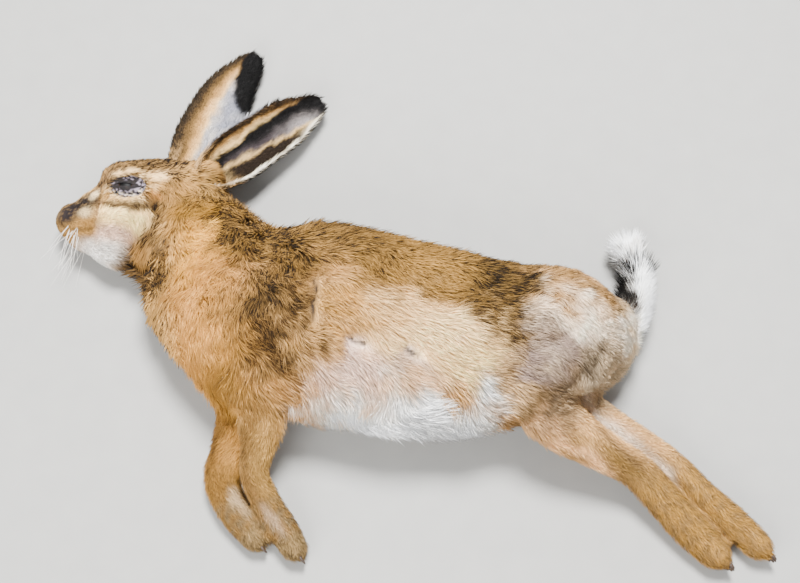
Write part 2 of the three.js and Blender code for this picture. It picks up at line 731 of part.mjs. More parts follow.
function earShell(key) {
  const line = new THREE.CatmullRomCurve3(EAR_LINE[key]);
  const rows = EAR_CUP[key];
  const cup = new THREE.CatmullRomCurve3(rows.map((r) => V(...r)));
  const nu = 14;
  const nv = 8;
  const faces = [[], []];
  for (let i = 0; i <= nu; i++) {
    const [u, radius, half] = cup.getPoint(i / nu).toArray();
    const at = line.getPoint(clamp(u, 0, 1));
    const along = line.getTangent(clamp(u, 0, 1));
    const across = along.clone().cross(EAR_OPEN[key]).normalize();
    const open = across.clone().cross(along).normalize();
    for (let layer = 0; layer < 2; layer++)
      for (let j = 0; j <= nv; j++) {
        const v = (j / nv) * 2 - 1;
        const a = rad(half) * v;
        const thick = EAR_THICK * (1 - 0.45 * v * v) * lerp(1, 0.6, u);
        const r = radius + (layer ? thick : 0);
        const q = at.clone().addScaledVector(across, Math.sin(a) * r);
        faces[layer].push(q.addScaledVector(open, radius - Math.cos(a) * r));
      }
  }
  const list = [...faces[0], ...faces[1]];
  const w = nv + 1;
  const half = faces[0].length;
  const index = [];
  const quad = (a, b, c, d) => index.push(a, b, c, a, c, d);
  for (let i = 0; i < nu; i++)
    for (let j = 0; j < nv; j++) {
      const a = i * w + j;
      quad(a, a + w, a + w + 1, a + 1);
      quad(half + a, half + a + 1, half + a + w + 1, half + a + w);
    }
  for (let i = 0; i < nu; i++) {
    const a = i * w;
    const b = a + nv;
    quad(a, half + a, half + a + w, a + w);
    quad(b, b + w, half + b + w, half + b);
  }
  for (let j = 0; j < nv; j++) {
    const a = j;
    const b = nu * w + j;
    quad(a, a + 1, half + a + 1, half + a);
    quad(b, half + b, half + b + 1, b + 1);
  }
  const made = solid(new THREE.BufferGeometry().setFromPoints(list).setIndex(index));
  if (made.volume() > 0) return made;
  const turned = [];
  for (let i = 0; i < index.length; i += 3) turned.push(index[i], index[i + 2], index[i + 1]);
  return solid(new THREE.BufferGeometry().setFromPoints(list).setIndex(turned));
}

const headClear = surface((x, y, z) => torso(x, y, z) - 2 * GAP, headLow, headHigh, HEAD_CELL).add(head);
for (const key of ["left", "right"]) {
  part(key + "_ear", earShell(key).subtract(headClear).intersect(above()), COLOURS.ear);
}

// The origin is the middle of the base.
const middle = new THREE.Box3().setFromObject(group).getCenter(V(0, 0, 0));
for (const node of group.children) node.position.set(-middle.x, -middle.y, 0);

export default group;
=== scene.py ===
import json
import math

import bmesh
import bpy
import numpy as np
from mathutils import Euler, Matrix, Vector
from mathutils.bvhtree import BVHTree

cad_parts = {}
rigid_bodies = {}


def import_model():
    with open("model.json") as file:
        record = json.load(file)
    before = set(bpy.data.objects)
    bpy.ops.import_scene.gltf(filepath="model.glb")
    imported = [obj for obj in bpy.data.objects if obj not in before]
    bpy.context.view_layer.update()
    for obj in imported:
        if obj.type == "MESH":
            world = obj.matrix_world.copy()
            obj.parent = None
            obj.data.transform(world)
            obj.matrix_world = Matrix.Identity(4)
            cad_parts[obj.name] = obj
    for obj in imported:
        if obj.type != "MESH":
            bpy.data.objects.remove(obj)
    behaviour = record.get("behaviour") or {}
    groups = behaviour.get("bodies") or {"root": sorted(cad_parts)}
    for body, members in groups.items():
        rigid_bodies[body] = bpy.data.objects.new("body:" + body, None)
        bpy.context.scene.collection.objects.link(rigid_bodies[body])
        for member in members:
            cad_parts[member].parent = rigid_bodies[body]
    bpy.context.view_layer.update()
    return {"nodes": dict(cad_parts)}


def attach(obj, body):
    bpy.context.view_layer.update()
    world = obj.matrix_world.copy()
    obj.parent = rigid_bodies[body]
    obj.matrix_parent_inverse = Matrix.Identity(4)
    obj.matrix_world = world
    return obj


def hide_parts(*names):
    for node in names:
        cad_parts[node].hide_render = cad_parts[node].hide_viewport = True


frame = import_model()

MM = 0.001
PLAN_SHIFT = np.array([2.267, 11.523, 0.0])  # where the frame's origin lies on the body plan
MIDLINE = 32.0  # height of the head's middle plane
EYE = dict(x=-264.0, y=107.0, out=20.0, radius=11.0)
SKIN_VOXEL = 2.9  # cells of the skin's mesh
SWELL = 0.45  # the solids grow by this, which closes the gaps between them
SKIN_CLEAR, TIPS_CLEAR = 0.4, 0.7  # the skin and the hair tips stay this far above the floor
FACE_FROM = -228  # finer cells from here to the nose
HEAD_FROM = -214  # the head's coat ends here
FORM_ROUNDS, DEPTH_ROUNDS, LIE_ROUNDS = 26, 12, 8  # rounds of smoothing over neighbours
HEAD_REACH = 0.12  # the head takes this much of the neck's place on the plan
EDGE_SHARPNESS = 9  # how fast one chain gives way to the next
EAR_THICK = 2.4
rng = np.random.default_rng(7)

# Body plan: rows of x, y, z, half the depth from back to belly, half the width.
CHAINS = {
    "spine": [
        [-230, 92, 35, 45, 31], [-198, 55, 42, 58, 40], [-165, 9, 50, 76, 50],
        [-120, -21, 56, 90, 60], [-60, -30, 59, 93, 64], [0, -44, 60, 92, 66],
        [60, -50, 60, 86, 64], [110, -44, 59, 70, 60], [155, -37, 57, 56, 55],
        [188, -41, 54, 36, 40],
    ],
    "skull": [
        [-324, 84.5, 31, 14.6, 13.3], [-312, 82.5, 31, 26, 17.5], [-302, 83.5, 32, 28, 20.5],
        [-292, 86, 32, 38, 24], [-270, 92, 32, 51, 29], [-240, 94, 32, 52, 30],
        [-212, 96, 34, 45, 29],
    ],
    "tail": [
        [190, -52, 48, 18, 17], [212, -28, 43, 18, 17], [227, 0, 36, 20, 19],
        [229, 26, 31, 20, 18], [223, 50, 26, 15, 14], [217, 72, 22, 6, 6],
    ],
    "left_fore": [
        [-148, -22, 86, 44, 30], [-134, -66, 84, 38, 28], [-124, -104, 74, 26, 20],
        [-127, -138, 53, 17, 15], [-132, -167, 37, 13, 13], [-121, -191, 27, 13, 13],
        [-108, -213, 18, 14.5, 14], [-97, -229, 14, 12, 12],
    ],
    "right_fore": [
        [-160, -20, 34, 44, 28], [-151, -64, 30, 38, 26], [-147, -104, 26, 26, 20],
        [-157, -138, 21, 17.5, 15], [-165, -166, 17, 16, 14.5], [-157, -190, 15, 15, 14],
        [-143, -209, 14, 14, 13.5], [-133, -221, 13, 11.5, 11.5],
    ],
    "left_hind": [
        [158, -30, 84, 50, 32], [140, -68, 84, 48, 32], [122, -101, 78, 30, 26],
        [142, -125, 67, 26, 21], [180, -147, 52, 19, 17], [214, -164, 38, 16.5, 15],
        [238, -187, 27, 16.5, 15], [263, -213, 19, 17, 16.5], [284, -234, 16, 15, 15],
    ],
    "right_hind": [
        [160, -40, 36, 46, 32], [158, -74, 30, 42, 28], [158, -102, 24, 36, 22],
        [184, -119, 21, 25, 19], [214, -132, 19, 17, 16.5], [248, -153, 17, 14.5, 14],
        [278, -181, 16, 13, 13.5], [304, -207, 15.5, 14.5, 14], [323, -226, 14.5, 13.5, 13.5],
    ],
}
TAIL_CORE = [
    [190, -52, 48, 18, 17], [209, -31, 44, 14, 13], [226, 0, 36, 10, 9.5],
    [229, 26, 31, 9.5, 9], [223, 47, 27, 7, 7], [220, 60, 24, 3, 3],
]
EAR_LINE = {
    "left": [[-222, 96, 31], [-192, 121, 34], [-155, 154, 33], [-114, 190, 26], [-80, 217, 20]],
    "right": [[-212, 108, 30], [-206, 140, 31], [-195, 184, 27], [-177, 230, 22], [-149, 272, 17]],
}
EAR_CUP = {
    "left": [
        [0, 10, 168], [0.18, 13, 150], [0.34, 20, 88], [0.54, 32, 50],
        [0.72, 34, 42], [0.88, 26, 35], [0.96, 19, 32], [1, 10, 26],
    ],
    "right": [
        [0, 13, 160], [0.16, 21, 104], [0.34, 36, 55], [0.52, 46, 42],
        [0.7, 44, 38], [0.88, 33, 32], [0.96, 23, 30], [1, 12, 26],
    ],
}
EAR_OPEN = {"left": [0.05, -0.28, 0.96], "right": [0.05, 0.1, -1.0]}
FLESH = [
    "head", "neck", "chest", "loin", "rump", "left_thigh", "right_thigh", "left_upper_arm",
    "right_upper_arm", "tail", "left_forearm", "right_forearm", "left_forepaw", "right_forepaw",
    "left_shank", "right_shank", "left_hind_foot", "right_hind_foot",
]


def to_frame(points):
    return (np.asarray(points, float) - PLAN_SHIFT) * MM


def to_plan(points):
    return np.asarray(points, float) / MM + PLAN_SHIFT


def linear(hex_colour):
    """sRGB hex to linear colour."""
    c = np.array([(hex_colour >> s) & 255 for s in (16, 8, 0)]) / 255
    return np.where(c <= 0.04045, c / 12.92, ((c + 0.055) / 1.055) ** 2.4)


def toward(colours, colour, share):
    """Colours moved a share of the way to one colour, given as hex or linear."""
    goal = linear(colour) if isinstance(colour, int) else colour
    return colours + (goal - colours) * np.reshape(share, (-1, 1))


def bands(table, at):
    """The colour at each place, between rows of place and colour."""
    places, colours = zip(*table)
    channels = np.array([linear(c) for c in colours]).T
    return np.stack([np.interp(at, places, channel) for channel in channels], 1)


def smooth(low, high, value):
    """0 up to low, 1 from high on, with soft ends. It falls where low is the higher one."""
    t = np.clip((value - low) / (high - low), 0, 1)
    return t * t * (3 - 2 * t)


def bell(distance, wide):
    """1 on a line, falling softly to nothing about two widths away."""
    return np.exp(-(distance / wide) ** 2)


def unit(v):
    """Vectors of length one."""
    return v / np.maximum(np.linalg.norm(v, axis=-1, keepdims=True), 1e-9)


def curve_through(rows, count):
    """Even steps of a smooth curve through the rows, any number of columns."""
    p = np.array(rows, float)
    ends = np.vstack([2 * p[0] - p[1], p, 2 * p[-1] - p[-2]])
    out = []
    for t in np.linspace(0, len(p) - 1, count):
        i = min(int(t), len(p) - 2)
        w = t - i
        a, b, c, d = ends[i:i + 4]
        k = [max(np.linalg.norm(q), 1e-4) ** 0.5 for q in (b - a, c - b, d - c)]
        m1 = ((b - a) / k[0] - (c - a) / (k[0] + k[1]) + (c - b) / k[1]) * k[1]
        m2 = ((c - b) / k[1] - (d - b) / (k[1] + k[2]) + (d - c) / k[2]) * k[1]
        out.append(b + m1 * w + (3 * (c - b) - 2 * m1 - m2) * w**2 + (2 * (b - c) + m1 + m2) * w**3)
    return np.array(out)


class Chain:
    """A limb, the trunk, the head or the tail: its line, its own axes and its sizes."""

    def __init__(self, rows, count=60):
        table = curve_through(rows, count)
        self.at = table[:, :3]
        self.size = table[:, 3:5]
        self.along = unit(np.gradient(self.at, axis=0))
        self.deep = unit(np.stack([-self.along[:, 1], self.along[:, 0], np.zeros(count)], 1))
        self.wide = np.cross(self.along, self.deep)

    def read(self, co):
        """For each point: its place along, its offsets to the back and upward as shares
        of the chain's half sizes, how far out it is, and the chain's direction there."""
        best = np.full(len(co), np.inf)
        seg = np.zeros(len(co), int)
        for i, at in enumerate(self.at):
            d = ((co - at) ** 2).sum(1)
            near = d < best
            best[near] = d[near]
            seg[near] = i
        off = co - self.at[seg]
        n = (off * self.deep[seg]).sum(1) / self.size[seg, 0]
        w = (off * self.wide[seg]).sum(1) / self.size[seg, 1]
        a = (off * self.along[seg]).sum(1) / self.size[seg].min(1)
        r = np.sqrt(n**2 + w**2 + a**2)
        return dict(s=seg / (len(self.at) - 1), n=n, w=w, r=r, along=self.along[seg])


def mesh_arrays(mesh):
    co = np.empty(len(mesh.vertices) * 3)
    mesh.vertices.foreach_get("co", co)
    mesh.calc_loop_triangles()
    tris = np.empty(len(mesh.loop_triangles) * 3, np.int32)
    mesh.loop_triangles.foreach_get("vertices", tris)
    return co.reshape(-1, 3), tris.reshape(-1, 3)


def crosses(co, tris):
    """For each triangle a vector square to it, twice as long as its area."""
    a, b, c = (co[tris[:, k]] for k in range(3))
    return np.cross(b - a, c - a)


def vertex_normals(co, tris):
    out = np.zeros_like(co)
    for k in range(3):
        np.add.at(out, tris[:, k], crosses(co, tris))
    return unit(out)


def fans(faces):
    """Triangles of flat faces with any number of corners."""
    return np.array([[f[0], f[k], f[k + 1]] for f in faces for k in range(1, len(f) - 1)])


def new_mesh(name, points, faces):
    mesh = bpy.data.meshes.new(name)
    mesh.from_pydata([tuple(p) for p in points], [], faces)
    mesh.update()
    return mesh


def shade_smooth(mesh):
    mesh.polygons.foreach_set("use_smooth", np.ones(len(mesh.polygons), bool))


def new_object(name, mesh):
    piece = bpy.data.objects.new(name, mesh)
    bpy.context.scene.collection.objects.link(piece)
    return piece


def solid_of(name):
    """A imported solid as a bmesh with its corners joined."""
    bm = bmesh.new()
    bm.from_mesh(frame["nodes"][name].data)
    bmesh.ops.remove_doubles(bm, verts=bm.verts, dist=1e-5)
    return bm


def smooth_piece(mesh, material):
    """A smooth-shaded piece in one material."""
    shade_smooth(mesh)
    mesh.materials.append(material)
    return new_object(mesh.name, mesh)


def ball(centre, radius, around=48, rings=32):
    """Points and faces of a sphere with its poles on Z."""
    polar = np.linspace(0, math.pi, rings + 1)[1:-1, None]
    turn = np.linspace(0, 2 * math.pi, around, endpoint=False)[None]
    grid = [np.sin(polar) * np.cos(turn), np.sin(polar) * np.sin(turn), np.cos(polar) + 0 * turn]
    points = np.vstack([np.stack(grid, -1).reshape(-1, 3), [[0, 0, 1], [0, 0, -1]]])
    top, last = len(points) - 2, (rings - 2) * around
    faces = []
    for j in range(around):
        k = (j + 1) % around
        faces += [[top, j, k], [top + 1, last + k, last + j]]
        faces += [[i + j, i + around + j, i + around + k, i + k] for i in range(0, last, around)]
    return centre + points * radius, faces


def evaluated_copy(piece):
    """A new mesh of the piece as its modifiers leave it."""
    graph = bpy.context.evaluated_depsgraph_get()
    return bpy.data.meshes.new_from_object(piece.evaluated_get(graph))


def form_through(rows, count=24, sides=20):
    """A closed form with elliptical sections through the rows of a chain."""
    chain = Chain(rows, count)
    size = curve_through(rows, count)[:, 3:5]
    a = np.linspace(0, 2 * math.pi, sides, endpoint=False)
    ring = chain.deep[:, None] * (np.cos(a) * size[:, :1])[..., None]
    ring = ring + chain.wide[:, None] * (np.sin(a) * size[:, 1:])[..., None]
    points = np.vstack([(chain.at[:, None] + ring).reshape(-1, 3), chain.at[[0, -1]]])
    first, last = len(points) - 2, len(points) - 1
    tris = []
    for i in range(sides):
        j = (i + 1) % sides
        for k in range(0, (count - 1) * sides, sides):
            tris += [[k + i, k + j, k + i + sides], [k + j, k + j + sides, k + i + sides]]
        tris += [[first, j, i], [last, (count - 1) * sides + i, (count - 1) * sides + j]]
    return to_frame(points), np.array(tris)


# The flesh as one closed surface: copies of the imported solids, each swelled a little
# so that they run together, meshed over with even cells. The tail gives its core only.
def body_shell():
    points, faces, start = [], [], 0
    for name in FLESH:
        if name == "tail":
            co, tris = form_through(TAIL_CORE)
        else:
            bm = solid_of(name)
            co = np.array([v.co for v in bm.verts])
            tris = np.array([[v.index for v in f.verts] for f in bm.faces])
            bm.free()
            co = co + vertex_normals(co, tris) * SWELL * MM
        points.append(co)
        faces.append(tris + start)
        start += len(co)
    mesh = new_mesh("body_shell", np.vstack(points), np.vstack(faces).tolist())
    piece = new_object("body_shell", mesh)
    remesh = piece.modifiers.new("cells", "REMESH")
    remesh.mode = "VOXEL"
    remesh.voxel_size = SKIN_VOXEL * MM
    made = evaluated_copy(piece)
    bpy.data.objects.remove(piece)
    return made


def neighbour_mean(values, pairs):
    """The mean over each point's neighbours. A point with none keeps its own value."""
    number = np.bincount(pairs.ravel(), minlength=len(values))[:, None]
    columns = values.reshape(len(values), -1)
    total = np.zeros_like(columns)
    for k, column in enumerate(columns.T):
        total[:, k] = np.bincount(pairs[:, 0], column[pairs[:, 1]], len(values))
        total[:, k] += np.bincount(pairs[:, 1], column[pairs[:, 0]], len(values))
    return np.where(number > 0, total / np.maximum(number, 1), columns).reshape(values.shape)


def even_out(co, pairs, strength, rounds):
    """Smooths points over their neighbours without shrinking the form."""
    for i in range(rounds * 2):
        step = 0.5 if i % 2 == 0 else -0.52
        co = co + (neighbour_mean(co, pairs) - co) * step * strength[:, None]
    return co


def ear_points(key, nu=64, nv=30):
    """One ear's cup: inner and outer grid, and for each point u, v and layer."""
    line = curve_through(EAR_LINE[key], 400)
    cup = curve_through(EAR_CUP[key], nu)
    step = np.clip(cup[:, 0], 0, 1) * 399
    low = np.minimum(step.astype(int), 398)
    at = line[low] + (line[low + 1] - line[low]) * (step - low)[:, None]
    along = unit(np.gradient(line, axis=0))[low]
    across = unit(np.cross(along, EAR_OPEN[key]))
    opening = unit(np.cross(across, along))
    v = np.linspace(-1, 1, nv)
    out, share = [], []
    for layer in (0, 1):
        thick = EAR_THICK * (1 - 0.45 * v**2)[None, :] * (1 - 0.4 * cup[:, :1])
        angle = np.radians(cup[:, 2:3]) * v[None, :]
        r = cup[:, 1:2] + layer * thick + 0.3
        p = at[:, None] + across[:, None] * (np.sin(angle) * r)[..., None]
        p = p + opening[:, None] * (cup[:, 1:2] - np.cos(angle) * r)[..., None]
        out.append(p.reshape(-1, 3))
        uu, vv = np.meshgrid(np.clip(cup[:, 0], 0, 1), v, indexing="ij")
        share.append(np.stack([uu.ravel(), vv.ravel(), np.full(uu.size, layer)], 1))
    size = nu * nv
    faces = []
    for i in range(nu - 1):
        for j in range(nv - 1):
            a = i * nv + j
            faces.append([a, a + nv, a + nv + 1, a + 1])
            faces.append([size + a, size + a + 1, size + a + nv + 1, size + a + nv])
        a, b = i * nv, i * nv + nv - 1
        faces.append([a, size + a, size + a + nv, a + nv])
        faces.append([b, b + nv, size + b + nv, size + b])
    for j in range(nv - 1):
        b = (nu - 1) * nv + j
        faces.append([j, j + 1, size + j + 1, size + j])
        faces.append([b, size + b, size + b + 1, b + 1])
    points = np.vstack(out)
    tris = fans(faces)
    if (crosses(points, tris) * (points[tris[:, 0]] - points.mean(0))).sum() < 0:
        faces = [f[::-1] for f in faces]
    return points, faces, np.vstack(share), np.tile(np.repeat(along, nv, 0), (2, 1))


# Noise made of a few seeded waves, the same on every run.
WAVE_SCALE = 3.6  # brings the sum of the waves near -1 to 1
WAVES = unit(rng.normal(size=(6, 14, 3))) * rng.uniform(0.6, 1.4, (6, 14, 1))
PHASES = rng.uniform(0, 2 * math.pi, (6, 14))


def wander(co, size, which=0):
    """Smooth noise, mostly from -1 to 1, with humps about as wide as size."""
    waves = WAVES[which] * math.pi / size
    return np.sin(co @ waves.T + PHASES[which]).sum(1) / WAVE_SCALE


chains = {name: Chain(rows) for name, rows in CHAINS.items()}


# The skin: the shell with its face in finer cells, evened out, sunk by the depth of
# the coat, with the folds of the face pressed in, and the ears set into it.
def finer_face(mesh):
    bm = bmesh.new()
    bm.from_mesh(mesh)
    left = set(bm.verts)
    shells = []
    while left:
        stack = [left.pop()]
        shell = set(stack)
        while stack:
            for e in stack.pop().link_edges:
                for v in e.verts:
                    if v in left:
                        left.discard(v)
                        shell.add(v)
                        stack.append(v)
        shells.append(shell)
    shells.sort(key=len)
    for scrap in shells[:-1]:
        bmesh.ops.delete(bm, geom=list(scrap), context="VERTS")
    limit = (FACE_FROM - PLAN_SHIFT[0]) * MM
    near = [e for e in bm.edges if max(v.co.x for v in e.verts) < limit]
    bmesh.ops.subdivide_edges(bm, edges=near, cuts=1, use_grid_fill=True)
    bmesh.ops.recalc_face_normals(bm, faces=bm.faces)
    bm.to_mesh(mesh)
    bm.free()
    mesh.update()


finer_face(shell := body_shell())
co, tris = mesh_arrays(shell)
edges = np.empty(len(shell.edges) * 2, np.int32)
shell.edges.foreach_get("vertices", edges)
edges = edges.reshape(-1, 2)
plan = to_plan(co)
face_share = smooth(-215, -250, plan[:, 0])
co = even_out(co, edges, 1 - 0.45 * face_share, FORM_ROUNDS)
body_count = len(co)
faces = [list(p.vertices) for p in shell.polygons]

ear_share = {}
ear_lie = {}
points = [co]
for key in ("left", "right"):
    p, quads, share, along = ear_points(key)
    start = sum(len(q) for q in points)
    faces += [[i + start for i in f] for f in quads]
    points.append(to_frame(p))
    ear_share[key] = (slice(start, start + len(p)), share)
    ear_lie[key] = along
co = np.vstack(points)
tris = fans(faces)
normals = vertex_normals(co, tris)
plan = to_plan(co)
count = len(co)
x, y, z = plan.T
is_ear = np.arange(count) >= body_count

# Where each point lies on the chains, and how much each chain owns it.
place = {name: chain.read(plan) for name, chain in chains.items()}
nearness = np.stack([place[name]["r"] for name in chains])
nearness[list(chains).index("skull")] -= HEAD_REACH
own = np.exp(-(nearness - nearness.min(0)) * EDGE_SHARPNESS)
own /= own.sum(0)
own = dict(zip(chains, own))
legs = ("left_fore", "right_fore", "left_hind", "right_hind")
spine, tail = place["spine"], place["tail"]


def soft_oval(cx, cy, rx, ry):
    """1 at a place on the body plan, falling softly to nothing."""
    return np.exp(-(((x - cx) / rx) ** 2 + ((y - cy) / ry) ** 2))


def near_line(points, line):
    """Distance from each point to a line of points, in millimetres."""
    best = np.full(len(points), np.inf)
    for a, b in zip(line[:-1], line[1:]):
        a, b = np.array(a, float), np.array(b, float)
        t = np.clip(((points - a) @ (b - a)) / ((b - a) @ (b - a)), 0, 1)
        d = np.linalg.norm(points - a - t[:, None] * (b - a), axis=1)
        best = np.minimum(best, d)
    return best


def off_line(points, line):
    """The same on the body plan, to a line of x and y."""
    return near_line(points * [1, 1, 0], [(a, b, 0) for a, b in line])


def stretch(name, first, last):
    """How far a point belongs to the far end of a chain, which sets in from first to last."""
    return own[name] * smooth(first, last, place[name]["s"])


def by_place(chain, table):
    """A value that changes along a chain: rows of place and value."""
    t = np.array(table)
    return np.interp(place[chain]["s"], t[:, 0], t[:, 1])


# Hair length in millimetres.
length = own["spine"] * by_place("spine", [(0, 20), (0.3, 21), (0.66, 18), (0.8, 13), (1, 11)])
length += own["skull"] * np.interp(x, [-330, -312, -290, -250, -215], [2.6, 3.4, 5.5, 8.5, 13])
length += own["tail"] * by_place("tail", [(0, 16), (0.2, 20), (0.5, 21), (0.8, 20), (1, 22)])
tail_back = smooth(0.25, 0.6, tail["n"]) * own["tail"]
length += 10 * tail_back * smooth(0.95, 0.7, tail["s"])
brow = smooth(112, 124, y) * smooth(-214, -232, x) * smooth(-312, -296, x)
length += 2.5 * brow * own["skull"]
for name in legs:
    upper = (17, 13) if "fore" in name else (11, 10)
    table = [(0, upper[0]), (0.3, upper[1]), (0.45, 9), (0.7, 7), (0.9, 7.5), (1, 7)]
    length += own[name] * by_place(name, table)
throat = soft_oval(-246, 30, 32, 17)
length += 8 * throat * (1 - is_ear)
belly = smooth(-0.55, -0.85, spine["n"]) * own["spine"]
length += 4 * belly
ear_root = soft_oval(-196, 118, 20, 20)
length += 4 * ear_root * (1 - is_ear)
length[is_ear] = 3.0
length = np.clip(length, 2.2, 32)

# Depth of the coat: the skin lies this far inside the solids.
depth = np.interp(length, [2, 5, 10, 20, 27], [0.5, 1.4, 3.2, 7.5, 9.5])
underneath = smooth(12, 3, z) * smooth(-0.3, -0.8, normals[:, 2])
depth *= 1 - 0.75 * underneath
depth[is_ear] = 0
sunk = depth
for _ in range(DEPTH_ROUNDS):
    sunk = neighbour_mean(sunk, edges)
co = co - normals * (sunk * MM)[:, None]


# The folds of the face, pressed in or raised by millimetres.
FAR = 1e9
MOUTH = [(-332, 77), (-326, 71), (-318, 67), (-309, 65), (-299, 65)]
NOSTRIL = [(-338, 88, 3), (-333, 92, 6), (-327, 92, 9.5)]
LIP_SPLIT = [(-339, 88), (-336, 80), (-331, 73)]
pressed = np.zeros(count)
mouth_shade = np.zeros(count)
for s in (1, -1):
    d = np.where((z - MIDLINE) * s > 2, off_line(plan, MOUTH), FAR)
    pressed += 0.8 * bell(d, 1.7) - 0.3 * bell(d - 4, 2)
    mouth_shade = np.maximum(mouth_shade, bell(d, 2.2))
    d = near_line(plan, [(px, py, MIDLINE + s * pz) for px, py, pz in NOSTRIL])
    pressed += 2.2 * bell(d, 1.8)
    mouth_shade = np.maximum(mouth_shade, bell(d, 2.4))
d = near_line(plan, [(px, py, MIDLINE) for px, py in LIP_SPLIT])
pressed += 1.2 * bell(d, 1.4)
mouth_shade = np.maximum(mouth_shade, bell(d, 1.6))
eye_off = np.hypot((x - EYE["x"]) / 20.5, (y - EYE["y"]) / 16)
eye_side = np.abs(z - MIDLINE) > 14
eye_patch = np.where(eye_side & (own["skull"] > 0.4) & ~is_ear, smooth(1.12, 0.8, eye_off), 0)
pressed += 3.2 * eye_patch
# The hollow between muzzle and forehead, then grooves on the side that looks up: in front of
# and behind the cheek, behind the arm, before and behind the thigh and along the shank.
pressed += 7 * soft_oval(-297, 117, 11, 12) * own["skull"]
for line, deep, wide in (
    ([(-291, 91), (-293, 80), (-297, 66)], 1.6, 3.5),
    ([(-244, 91), (-236, 82), (-237, 70), (-248, 56)], 2.0, 5),
    ([(-78, -2), (-77, -24), (-79, -46)], 2.2, 4),
    ([(124, -48), (110, -68), (97, -94)], 1.6, 12),
    ([(172, -68), (156, -90), (143, -106)], 1.4, 13),
    ([(186, -134), (203, -151), (220, -168)], 1.5, 4),
):
    pressed += deep * bell(np.where(z > MIDLINE, off_line(plan, line), FAR), wide)
pressed[is_ear] = 0
co = co - normals * (pressed * MM)[:, None]
co[:, 2] = np.maximum(co[:, 2], SKIN_CLEAR * MM)
normals = vertex_normals(co, tris)

# The lie of the hair: along each chain and towards the belly, in slow waves, tousled on
# the chest and calm on the flank.
heading = {name: place[name]["along"].copy() for name in chains}
THIGH_WAY, SHOULDER_WAY = (0.72, -0.62, 0), (0.15, -1, 0)
for name in legs:
    first, last, way = (0.16, 0.34, SHOULDER_WAY) if "fore" in name else (0.28, 0.42, THIGH_WAY)
    above = smooth(last, first, place[name]["s"])[:, None]
    heading[name] = heading[name] * (1 - above) + np.array(way) * above
lie = sum(own[name][:, None] * heading[name] for name in chains)
down = np.stack([spine["along"][:, 1], -spine["along"][:, 0], np.zeros(count)], 1)
fall = np.interp(x, [-200, -120, -60, 150], [0.9, 0.9, 0.5, 0.5])
lie = lie + down * (fall * own["spine"] + 0.3 * own["skull"])[:, None]
lie = lie + np.array([-0.9, 0, 0]) * tail_back[:, None]
for _ in range(LIE_ROUNDS):
    lie = neighbour_mean(lie, edges)
for key, (rows, _) in ear_share.items():
    lie[rows] = ear_lie[key]
lie = unit(lie - normals * (lie * normals).sum(1, keepdims=True))
tousled = smooth(-70, -110, x) * smooth(-235, -200, x) * own["spine"]
sleek = smooth(-85, -40, x) * smooth(0.45, 0.15, np.abs(spine["n"] + 0.2)) * own["spine"]
shag = 1 + 1.3 * throat + 0.8 * belly + 0.9 * tousled - 0.5 * sleek
swing = (0.34 * wander(plan, 36, 2) + 0.22 * wander(plan, 13, 3)) * shag
swing += 0.45 * tousled * wander(plan, 7, 4)
swing *= np.where(is_ear, 0.35, 1) * (1 - 0.6 * own["skull"])
lie = lie * np.cos(swing)[:, None] + np.cross(normals, lie) * np.sin(swing)[:, None]
# A hair rises about as far as its skin lies deep, so that its tip ends near the solid.
FLATTEST, STEEPEST, TAIL_LIFT, LAIN_ON_LIFT, EAR_LIFT = 0.14, 0.6, 1.0, 0.1, 0.24
lift = np.clip((depth + 0.3) / length * 1.1, FLATTEST, STEEPEST)
lift = np.where(own["tail"] > 0.5, TAIL_LIFT, lift)
lift = np.where(underneath > 0.3, LAIN_ON_LIFT, lift)
lift[is_ear] = EAR_LIFT

# Markings: soft zones on the body plan, in millimetres and laid one over the other. Each
# has a colour, a colour for the dark tips, and the share of hairs that have them. Noise
# moves the plan under them, so that their edges are ragged.
limbs = sum(stretch(name, 0.3, 0.5) for name in legs)
ragged = 11 * (1 - 0.85 * smooth(-190, -225, x)) * (1 - 0.75 * limbs) * ~is_ear
wx = x + ragged * (wander(plan, 24, 0) + 0.5 * wander(plan, 7, 2))
wy = y + ragged * (wander(plan, 24, 1) + 0.5 * wander(plan, 7, 3))
wn = spine["n"] + 0.12 * wander(plan, 26, 4) + 0.08 * wander(plan, 9, 5)
WARM, BROWN, DARK = 0x5A4028, 0x3A2A1C, 0x1C140C  # hair tips
mid = np.tile(linear(0xCE9C5C), (count, 1))
tips = np.tile(linear(WARM), (count, 1))
grizzle = np.full(count, 0.12)


def paint(mask, colour, tip=WARM, share=0.06):
    """Lays a colour, its tips and their share over the hairs under the mask."""
    m = np.clip(mask, 0, 1)
    mid[:] = toward(mid, colour, m)
    tips[:] = toward(tips, tip, m)
    grizzle[:] += (share - grizzle) * m


def spot(cx, cy, rx, ry, turn=0, soft=0.6):
    """A soft oval on the body plan, turned by degrees."""
    a = math.radians(turn)
    u = (wx - cx) * math.cos(a) + (wy - cy) * math.sin(a)
    v = (wy - cy) * math.cos(a) - (wx - cx) * math.sin(a)
    return smooth(1 + soft, 1 - soft, np.hypot(u / rx, v / ry))


def spots(rows, within=1.0):
    """Ovals laid in turn: centre, half sizes, turn, softness, colour, tips, share of tips."""
    for cx, cy, rx, ry, turn, soft, colour, tip, share in rows:
        paint(within * spot(cx, cy, rx, ry, turn, soft), colour, tip, share)


def stripe(line, wide):
    """A soft line on the body plan."""
    return bell(off_line(np.stack([wx, wy, z], 1), line), wide)


trunk = own["spine"]
head = smooth(-196, -222, x) * ~is_ear
